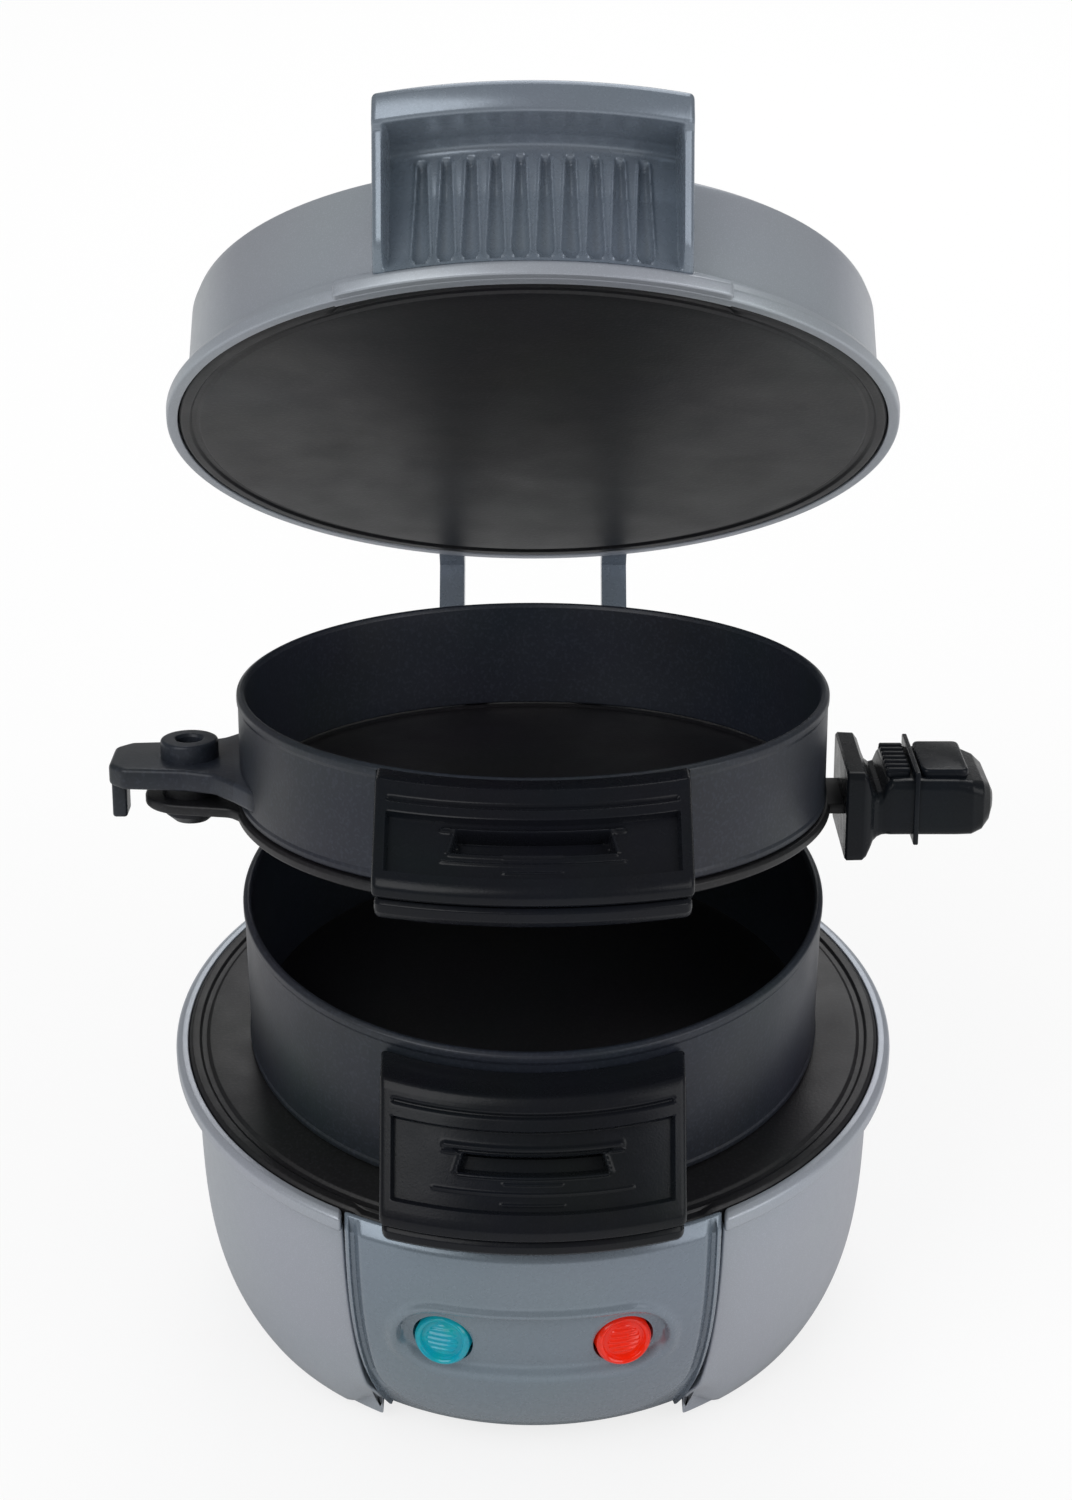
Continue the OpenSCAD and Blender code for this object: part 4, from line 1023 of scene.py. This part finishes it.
def lid_part(lid, z0):
    """The lid's cover."""
    wall, band, shoulder, seat_r = lid.wall_r, z0 + lid.band, z0 + lid.height, LID_HEATING_R + SEAT_GAP
    seat_z = z0 + HEATING_T + 0.05
    out = [(seat_r, z0, 0.3), (lid.rim_r - 0.2, z0, 0.6), (lid.rim_r, z0 + 2.2, 1.0),
           (lid.rim_r - 1.5, z0 + 4.2, 1.2), (wall + 1.0, band - 1.0, 0.6), (wall + 0.5, band - 0.2, 0.4),
           (wall + 0.45, band + 1, 0.3), (wall, shoulder - 3.6, 0), (wall - 0.9, shoulder - 1.0, 1.8)]
    out += [(r, z0 + dome_z(lid, r), 0) for r in np.linspace(wall - 4, 0, 24)]
    back = [(r, z0 + dome_z(lid, r) - 2.2, 0) for r in np.linspace(0, wall - 5.2, 16)]
    back += [(wall - 2.2, shoulder - 5, 1), (wall - 2.2, band + 3, 0.5), (LID_HEATING_R - 4, band, 0.5),
             (LID_HEATING_R - 4, seat_z, 0.3), (seat_r, seat_z, 0.3)]
    return revolve(rounded(out + back, 0, 5), 192)


def lid_tab_part(lid, z0):
    """The raised tab on the lid's rim below the handle."""
    back, foot, top = lid.rim_r - 3, z0 + 0.1, z0 + 4.4
    profile = rounded([(back, foot, 0.3), (lid.rim_r + 1.4, foot, 0.5), (lid.rim_r + 1.5, z0 + 2.4, 0.8),
                       (lid.rim_r - 1.0, top, 0.8), (back, top, 0.3)], 0.4, 5)
    return arched(refined(profile, 3), lid.handle_half + lid.tab_out, 1.5, 0.6)


def evenly(path, count=130):
    """Points at even distances along a path."""
    gone = np.concatenate([[0], np.cumsum(np.linalg.norm(np.diff(path, axis=0), axis=1))])
    places = np.linspace(0, gone[-1], count)
    return np.column_stack([np.interp(places, gone, path[:, 0]), np.interp(places, gone, path[:, 1])])


FLUTE = SimpleNamespace(foot=3.6, foot_length=2.8, half=1.72, taper=0.9, depth=1.45, rim=0.5, pitch_share=0.155)


def flute_relief(lid, x, z):
    """Relief of the flutes in the grip: narrow at the top, drop-shaped at the foot, with raised rims."""
    pitch, last = FLUTE.pitch_share * lid.handle_half, lid.flutes - 1
    nearest = np.clip(round(x / pitch + last / 2), 0, last)
    off = abs(x - (nearest - last / 2) * pitch)
    top = lid.cap_top - lid.cap_t - 0.8
    foot = np.clip((z - FLUTE.foot) / FLUTE.foot_length, 0, 1)
    half = FLUTE.half - FLUTE.taper * np.clip((z - FLUTE.foot) / (top - FLUTE.foot), 0, 1)
    half = half * np.sqrt(np.maximum(1 - (1 - foot) ** 2, 0)) + 1e-3
    shown = (1 - smooth(z, top - 1.4, top)) * (z > FLUTE.foot)
    scoop = np.sqrt(np.maximum(1 - (off / half) ** 2, 0))
    rim = ridge(off, half + 0.2, 0.32) * smooth(z, FLUTE.foot - 0.4, FLUTE.foot + 0.6)
    return (FLUTE.rim * rim - FLUTE.depth * scoop) * shown


def lid_handle_part(lid, z0):
    """The lid's handle: cap, cheeks and a fluted recess between them."""
    wall, tip, top, low = lid.wall_r, lid.cap_r, lid.cap_top, lid.cap_top - lid.cap_t
    cap = rounded([(wall - 9, dome_z(lid, wall - 9) - 0.6), (wall - 9, top - 0.8, 0.8), (wall - 6, top, 2.0),
                   (tip - 0.6, top, 1.6), (tip, top - 1.4, 1.2), (tip, low + 0.8)], 0.5, 6, closed=False)
    lip, foot = [(tip, low + 0.8), (tip - 0.5, low, 0.6)], (lid.rim_r + 1.0, 3.0)
    cheek = evenly(rounded([*lip, (tip - 1.6, low - 0.6, 0.8), (tip - 4.6, 18, 9), (tip - 8.2, 7, 6), foot],
                           0.5, 6, closed=False))
    recess = evenly(rounded([*lip, (tip - 1.4, low + 0.1, 0.5), (wall + 5.0, low + 1.6, 1.2),
                             (wall + 2.2, low + 0.8, 1.8), (wall + 1.9, 18, 8), (wall + 3.6, 6.2, 5), foot],
                            0.5, 6, closed=False))
    inside = [(wall + 1.6, 3.0), (wall + 0.8, 8), (wall - 1.2, lid.height - 4), (wall - 3, lid.height - 2.2)]
    side = lid.handle_half - 1.9
    loops = []
    for x, inset in columns(lid.handle_half, 0.16, 0.9, 5):
        blend = float(smooth(abs(x), side - 0.9, side + 0.2))
        middle = recess * (1 - blend) + cheek * blend
        middle[:, 0] += flute_relief(lid, x, middle[:, 1]) * (1 - blend) * (middle[:, 0] < wall + 5.0)
        outline = np.array([*cap, *middle[1:], *inside])
        shape = outline - outward(outline) * inset
        loops.append(in_front(x, shape[:, 0], shape[:, 1] + z0))
    return skin(loops)


# Cooking plate and its grip

def plate_parts(ring, level):
    """The plate's disc, its ear with the pivot's collar, and the tang that holds the grip."""
    low, r = level.plate, ring.plate_r
    top = low + ring.plate_t
    disc = revolve(refined(rounded([(0, low + 0.4), (r - 5.4, low + 0.4, 0.4), (r - 6, low, 0.3),
                                    (r - 0.5, low, 0.5), (r, low + 0.5, 0.5), (r, top - 0.5, 0.5),
                                    (r - 0.5, top, 0.5), (r - 2.5, top, 0.3), (r - 3.2, top - 0.35, 0.3),
                                    (0, top - 0.35)], 0.4, 4, closed=False), 3, closed=False), 192)
    lobe = [(-ring.pivot_x + 9 * cos(a), 9 * sin(a), 0) for a in np.linspace(radians(100), radians(260), 24)]
    outline = rounded([(-50, 21, 1), (-59, 10.6, 3), *lobe, (-59, -10.6, 3), (-50, -21, 1)], 0, 5)
    ear = slab(outline, low + 0.05, top - 0.05, 0.5)
    tang = slab(oblong(52, 82, -8, 8, 1.5), low + 0.05, top - 0.05, 0.4)
    foot, head = low + 0.3, level.ear - 0.3
    collar = revolve(rounded([(2.1, foot), (ring.boss_r, foot), (ring.boss_r, head), (2.1, head)], 0.4, 3), 48)
    return [disc, ear, tang, shifted(collar, -ring.pivot_x)]


GUARD_X = 60.7


def grip_stations(ring):
    """Place, half width, low, high and corner radius of each section along the grip."""
    half, h, end = ring.grip_w / 2, ring.grip_h, ring.grip_end
    return np.array([
        (GUARD_X, 12.8, -4.2, 13.3, 1.0), (GUARD_X + 0.4, 13.3, -4.6, 13.7, 1.4),
        (GUARD_X + 3.4, 13.3, -4.6, 13.6, 1.6), (GUARD_X + 4.2, 13.0, -4.0, 12.6, 1.8),
        (GUARD_X + 4.9, 12.5, -2.7, 10.4, 2.0), (GUARD_X + 5.6, 11.7, -1.3, 8.9, 2.2),
        (GUARD_X + 6.4, 11.3, -0.6, 8.4, 2.2),
        (GUARD_X + 7.3, 11.2, -0.2, 8.7, 2.2), (GUARD_X + 8.1, 11.3, 0.0, 10.6, 2.0),
        (GUARD_X + 9.0, half - 0.1, 0, h - 0.2, 1.8), (GUARD_X + 12.0, half, 0, h, 2.0),
        (GUARD_X + 22.0, half, 0, h - 0.1, 2.0), (end - 4.5, half, 0, h - 0.5, 2.4),
        (end - 2.4, half - 0.8, 0.6, h - 1.1, 3.0), (end - 0.9, half - 2.4, 1.9, h - 2.2, 3.4),
        (end - 0.1, half - 5.0, 3.8, h - 4.0, 2.4)])


def grip_parts(ring, level):
    """The grip lofted from its guard to its rounded end, and the fin round it."""
    table = grip_stations(ring)
    loops = []
    for x in np.unique(np.concatenate([table[:, 0], np.linspace(GUARD_X, ring.grip_end - 0.1, 70)])):
        half, low, high, corner = (np.interp(x, table[:, 0], table[:, k]) for k in range(1, 5))
        section = oblong(-half, half, level.grip + low, level.grip + high, corner, 15)
        loops.append(np.column_stack([np.full(len(section), x), section]))
    reach = ring.grip_w / 2 + 0.7
    fin = slab(oblong(74, 75, -reach, reach, 0.3, 3), level.grip - 1.5, level.grip + 13.4, 0.3)
    return [skin(loops), fin]


def grip_rib_parts(ring, level):
    """The raised deck on the grip with its ribs."""
    z = level.grip + ring.grip_h - 0.4
    deck = slab(oblong(68.8, 73.4, -8.6, 8.6, 0.8), z, z + 1.1, 0.4)
    rear = slab(oblong(75.6, 84.8, -9.0, 9.0, 1.6, 5), z, z + 1.9, 0.6)
    ribs = [slab(oblong(68.9, 73.5, y - 0.65, y + 0.65, 0.4, 3), z + 0.5, z + 1.8, 0.4)
            for y in np.arange(-7.5, 7.6, 2.5)]
    return [deck, rear, *ribs]


# Operators

class MAKER_OT_base_shell(bpy.types.Operator):
    """Builds the base's wall with its rim, groove edges and foot lobes"""
    bl_idname = "maker.base_shell"
    bl_label = "Base shell"

    def execute(self, context):
        piece("base_wall", [base_shell_part(sizes("maker_base"))], "shell_paint", "base", ["base_shell"])
        return {"FINISHED"}


class MAKER_OT_front_panel(bpy.types.Operator):
    """Builds the front panel with its recess and lens holes"""
    bl_idname = "maker.front_panel"
    bl_label = "Front panel"

    def execute(self, context):
        base = sizes("maker_base")
        part = cut(panel_part(base), [lens_hole(base, side) for side in (-1, 1)])
        piece("lamp_panel", [part], "panel_paint", "base", ["front_panel"])
        return {"FINISHED"}


class MAKER_OT_lenses(bpy.types.Operator):
    """Builds the two indicator lenses"""
    bl_idname = "maker.lenses"
    bl_label = "Indicator lenses"

    def execute(self, context):
        base = sizes("maker_base")
        piece("ready_lens", [lens_part(base, -1)], "green_lens", "base", ["green_lens"])
        piece("power_lens", [lens_part(base, 1)], "red_lens", "base", ["red_lens"])
        return {"FINISHED"}


class MAKER_OT_heating_plates(bpy.types.Operator):
    """Builds the lower and upper heating plates"""
    bl_idname = "maker.heating_plates"
    bl_label = "Heating plates"

    def execute(self, context):
        lid_z = stack().lid
        lower = heating_part(HEATING_R, HEATING_TOP, HEATING_TOP - HEATING_T, LOWER_NOTCH_HALF)
        upper = heating_part(LID_HEATING_R, lid_z, lid_z + HEATING_T, UPPER_NOTCH_HALF)
        piece("lower_hotplate", [lower], "plate_coating", "base", ["lower_heating_plate"])
        piece("upper_hotplate", [upper], "plate_coating", "lid", ["upper_heating_plate"],
              sizes("maker_hinge").lid_open)
        return {"FINISHED"}


class MAKER_OT_rings(bpy.types.Operator):
    """Builds the lower ring and the top ring with its ear"""
    bl_idname = "maker.rings"
    bl_label = "Rings"

    def execute(self, context):
        ring, level = sizes("maker_rings"), stack()
        piece("lower_ring_wall", [ring_part(ring, ring.low, ring.lower_top)], "ring_coating", "lower_ring",
              ["lower_ring"])
        piece("top_ring_wall", [ring_part(ring, level.top, level.top_top), *ear_parts(ring, level)],
              "ring_coating", "top_ring", ["top_ring"], sizes("maker_hinge").ring_open)
        return {"FINISHED"}


LOWER_FOOT_RISE = 7.2
UPPER_FOOT_RISE = 6


class MAKER_OT_ring_handles(bpy.types.Operator):
    """Builds the handles of the rings and their lips"""
    bl_idname = "maker.ring_handles"
    bl_label = "Ring handles"

    def execute(self, context):
        ring, handle, level = sizes("maker_rings"), sizes("maker_handles"), stack()
        lower_foot, upper_foot = BASE_TOP + LOWER_FOOT_RISE, level.top + UPPER_FOOT_RISE
        lower = handle_part(handle, ring, handle.lower_top_r, ring.lower_top - handle.lower_drop, lower_foot,
                            LOWER_FACE)
        upper = handle_part(handle, ring, handle.upper_top_r, level.top_top, upper_foot, UPPER_FACE)
        for name, part, body, node, angle in (
                ("lower_grip", lower, "lower_ring", "lower_ring_handle", 0.0),
                ("lower_lip", lip_part(handle, ring, lower_foot), "lower_ring", "lower_handle_lip", 0.0),
                ("top_grip", upper, "top_ring", "top_ring_handle", sizes("maker_hinge").ring_open),
                ("top_lip", lip_part(handle, ring, upper_foot), "top_ring", "top_handle_lip",
                 sizes("maker_hinge").ring_open)):
            piece(name, [part], "handle_plastic", body, [node], angle)
        return {"FINISHED"}


class MAKER_OT_cooking_plate(bpy.types.Operator):
    """Builds the cooking plate that swings out"""
    bl_idname = "maker.cooking_plate"
    bl_label = "Cooking plate"

    def execute(self, context):
        piece("swing_plate", plate_parts(sizes("maker_rings"), stack()), "plate_coating", "cooking_plate",
              ["cooking_plate"], sizes("maker_hinge").ring_open)
        return {"FINISHED"}


class MAKER_OT_plate_grip(bpy.types.Operator):
    """Builds the cooking plate's grip, guard, ribs and fin"""
    bl_idname = "maker.plate_grip"
    bl_label = "Plate grip"

    def execute(self, context):
        ring, level, angle = sizes("maker_rings"), stack(), sizes("maker_hinge").ring_open
        piece("swing_grip", grip_parts(ring, level), "handle_plastic", "cooking_plate", ["plate_grip"], angle)
        piece("swing_grip_ribs", grip_rib_parts(ring, level), "handle_plastic", "cooking_plate",
              ["plate_grip_cap"], angle)
        return {"FINISHED"}


GRIP_SHARP = 70


class MAKER_OT_lid(bpy.types.Operator):
    """Builds the lid's cover and its fluted handle"""
    bl_idname = "maker.lid"
    bl_label = "Lid"

    def execute(self, context):
        lid, z0, angle = sizes("maker_lid"), stack().lid, sizes("maker_hinge").lid_open
        cover = [lid_part(lid, z0), lid_tab_part(lid, z0)]
        piece("lid_shell", cover, "shell_paint", "lid", ["lid_cover"], angle)
        # The grip takes the darker panel paint as painted shade: it is the shell's own paint, darkened for the
        # shade in its recess.
        piece("lid_grip", [lid_handle_part(lid, z0)], "panel_paint", "lid", ["lid_handle"], angle, GRIP_SHARP)
        return {"FINISHED"}


NODE_FINISH = {row["node"]: row["material_slot"] for row in frame["record"]["subparts"]}
BEVELLED = {"hinge_tower": 0.8, "lid_hinge_arm": 0.7, "lower_ring_bracket": 0.5, "top_ring_bracket": 0.5}


class MAKER_OT_inner_pieces(bpy.types.Operator):
    """Gives every construction piece that stays in view its finish"""
    bl_idname = "maker.inner_pieces"
    bl_label = "Inner pieces"

    def execute(self, context):
        for name, node in frame["nodes"].items():
            node.data.materials.clear()
            node.data.materials.append(finished(NODE_FINISH[name]))
            if name in BEVELLED:
                bevel = node.modifiers.new("edges", "BEVEL")
                bevel.width = BEVELLED[name] * MM
                bevel.segments = 2
                bevel.limit_method = "ANGLE"
                bevel.angle_limit = radians(40)
                bevel.harden_normals = True
        return {"FINISHED"}


# Stage

FRAME_HEIGHT = 36
FLOOR_REACH = 3.0
LIGHT_SIZES = {"key": 0.9, "fill": 0.8, "back": 0.8}
LIGHT_PLACES = {"key": (-0.75, -0.75, 1.05), "fill": (0.95, -0.55, 0.6), "back": (0.1, 0.9, 0.9)}
LIGHT_AIMS = {"key": (0, 0, 0.1), "fill": (0, 0, 0.1), "back": (0, 0, 0.12)}


class MAKER_OT_stage(bpy.types.Operator):
    """Sets the floor, the lights and the camera"""
    bl_idname = "maker.stage"
    bl_label = "Stage"

    def execute(self, context):
        stage, scene = sizes("maker_stage"), context.scene
        mesh = bpy.data.meshes.new("floor")
        corners = [(x * FLOOR_REACH, y * FLOOR_REACH, 0) for x, y in ((-1, -1), (1, -1), (1, 1), (-1, 1))]
        mesh.from_pydata(corners, [], [(0, 1, 2, 3)])
        mesh.materials.append(floor_finish())
        floor = bpy.data.objects.new("floor", mesh)
        scene.collection.objects.link(floor)
        light_sky(stage.sky)
        for name in LIGHT_SIZES:
            lamp(name, getattr(stage, name))
        data = bpy.data.cameras.new("camera")
        data.sensor_fit = "VERTICAL"
        data.sensor_height = FRAME_HEIGHT
        data.lens = stage.lens
        data.shift_x = stage.shift
        camera = bpy.data.objects.new("camera", data)
        away = stage.distance * MM
        camera.location = (0, -away * cos(stage.elevation), stage.aim * MM + away * sin(stage.elevation))
        camera.rotation_euler = (pi / 2 - stage.elevation, 0, 0)
        scene.collection.objects.link(camera)
        scene.camera = camera
        scene.view_settings.view_transform = "Standard"
        return {"FINISHED"}


def lamp(name, power):
    """A square soft light aimed at the object."""
    data = bpy.data.lights.new(name + "_softbox", "AREA")
    data.size = LIGHT_SIZES[name]
    data.energy = power
    light = bpy.data.objects.new(name + "_softbox", data)
    light.location = LIGHT_PLACES[name]
    direction = Vector(LIGHT_AIMS[name]) - Vector(LIGHT_PLACES[name])
    light.rotation_euler = direction.to_track_quat("-Z", "Y").to_euler()
    bpy.context.scene.collection.objects.link(light)


FLOOR_GREY = 0.72
FLOOR_GLOW = 1.12
GLOW_SHARE = 0.7


def floor_finish():
    """Pale floor that keeps the shadow and looks whiter to the camera."""
    material = bpy.data.materials.new("floor")
    tree = emptied(material)
    plain = tree.nodes.new("ShaderNodeBsdfDiffuse")
    plain.inputs["Color"].default_value = (FLOOR_GREY, FLOOR_GREY, FLOOR_GREY, 1)
    glow = tree.nodes.new("ShaderNodeEmission")
    glow.inputs["Color"].default_value = (1, 1, 1, 1)
    glow.inputs["Strength"].default_value = FLOOR_GLOW
    mix = tree.nodes.new("ShaderNodeMixShader")
    output = tree.nodes.new("ShaderNodeOutputMaterial")
    rays = tree.nodes.new("ShaderNodeLightPath").outputs
    tree.links.new(math_node(tree, "MULTIPLY", rays["Is Camera Ray"], GLOW_SHARE), mix.inputs[0])
    tree.links.new(plain.outputs[0], mix.inputs[1])
    tree.links.new(glow.outputs[0], mix.inputs[2])
    tree.links.new(mix.outputs[0], output.inputs["Surface"])
    return material


GLOSSY_DIMMING = 0.75


def light_sky(strength):
    """An even sky, white to the camera and dimmer in reflections, as a studio's dark walls are."""
    world = bpy.data.worlds.new("studio")
    tree = emptied(world)
    sky = tree.nodes.new("ShaderNodeBackground")
    output = tree.nodes.new("ShaderNodeOutputWorld")
    rays = tree.nodes.new("ShaderNodeLightPath").outputs
    extra = math_node(tree, "MULTIPLY", rays["Is Camera Ray"], 1 - strength)
    lit = math_node(tree, "ADD", extra, strength)
    dimmed = math_node(tree, "MULTIPLY", rays["Is Glossy Ray"], strength * GLOSSY_DIMMING)
    tree.links.new(math_node(tree, "SUBTRACT", lit, dimmed), sky.inputs["Strength"])
    tree.links.new(sky.outputs[0], output.inputs["Surface"])
    bpy.context.scene.world = world


# Panel and registration

class MAKER_PT_sidebar(bpy.types.Panel):
    """Lists the steps that build the sandwich maker"""
    bl_idname = "MAKER_PT_sidebar"
    bl_label = "Sandwich maker"
    bl_space_type = "VIEW_3D"
    bl_region_type = "UI"
    bl_category = "Sandwich maker"

    def draw(self, context):
        for step in STEPS:
            self.layout.operator(step.bl_idname)


STEPS = (MAKER_OT_stage, MAKER_OT_base_shell, MAKER_OT_front_panel, MAKER_OT_lenses, MAKER_OT_heating_plates,
         MAKER_OT_rings, MAKER_OT_ring_handles, MAKER_OT_cooking_plate, MAKER_OT_plate_grip, MAKER_OT_lid,
         MAKER_OT_inner_pieces)


def register():
    """Registers the classes and hangs the property groups on the scene."""
    for group in GROUPS.values():
        bpy.utils.register_class(group)
    for step in (*STEPS, MAKER_PT_sidebar):
        bpy.utils.register_class(step)
    for name, group in GROUPS.items():
        setattr(bpy.types.Scene, name, bpy.props.PointerProperty(type=group))


def unregister():
    """Takes everything off again."""
    for name in GROUPS:
        delattr(bpy.types.Scene, name)
    for step in (MAKER_PT_sidebar, *reversed(STEPS)):
        bpy.utils.unregister_class(step)
    for group in reversed(GROUPS.values()):
        bpy.utils.unregister_class(group)


def main():
    """Builds everything in order."""
    register()
    for step in STEPS:
        group, name = step.bl_idname.split(".")
        getattr(getattr(bpy.ops, group), name)()


if __name__ == "__main__":
    main()
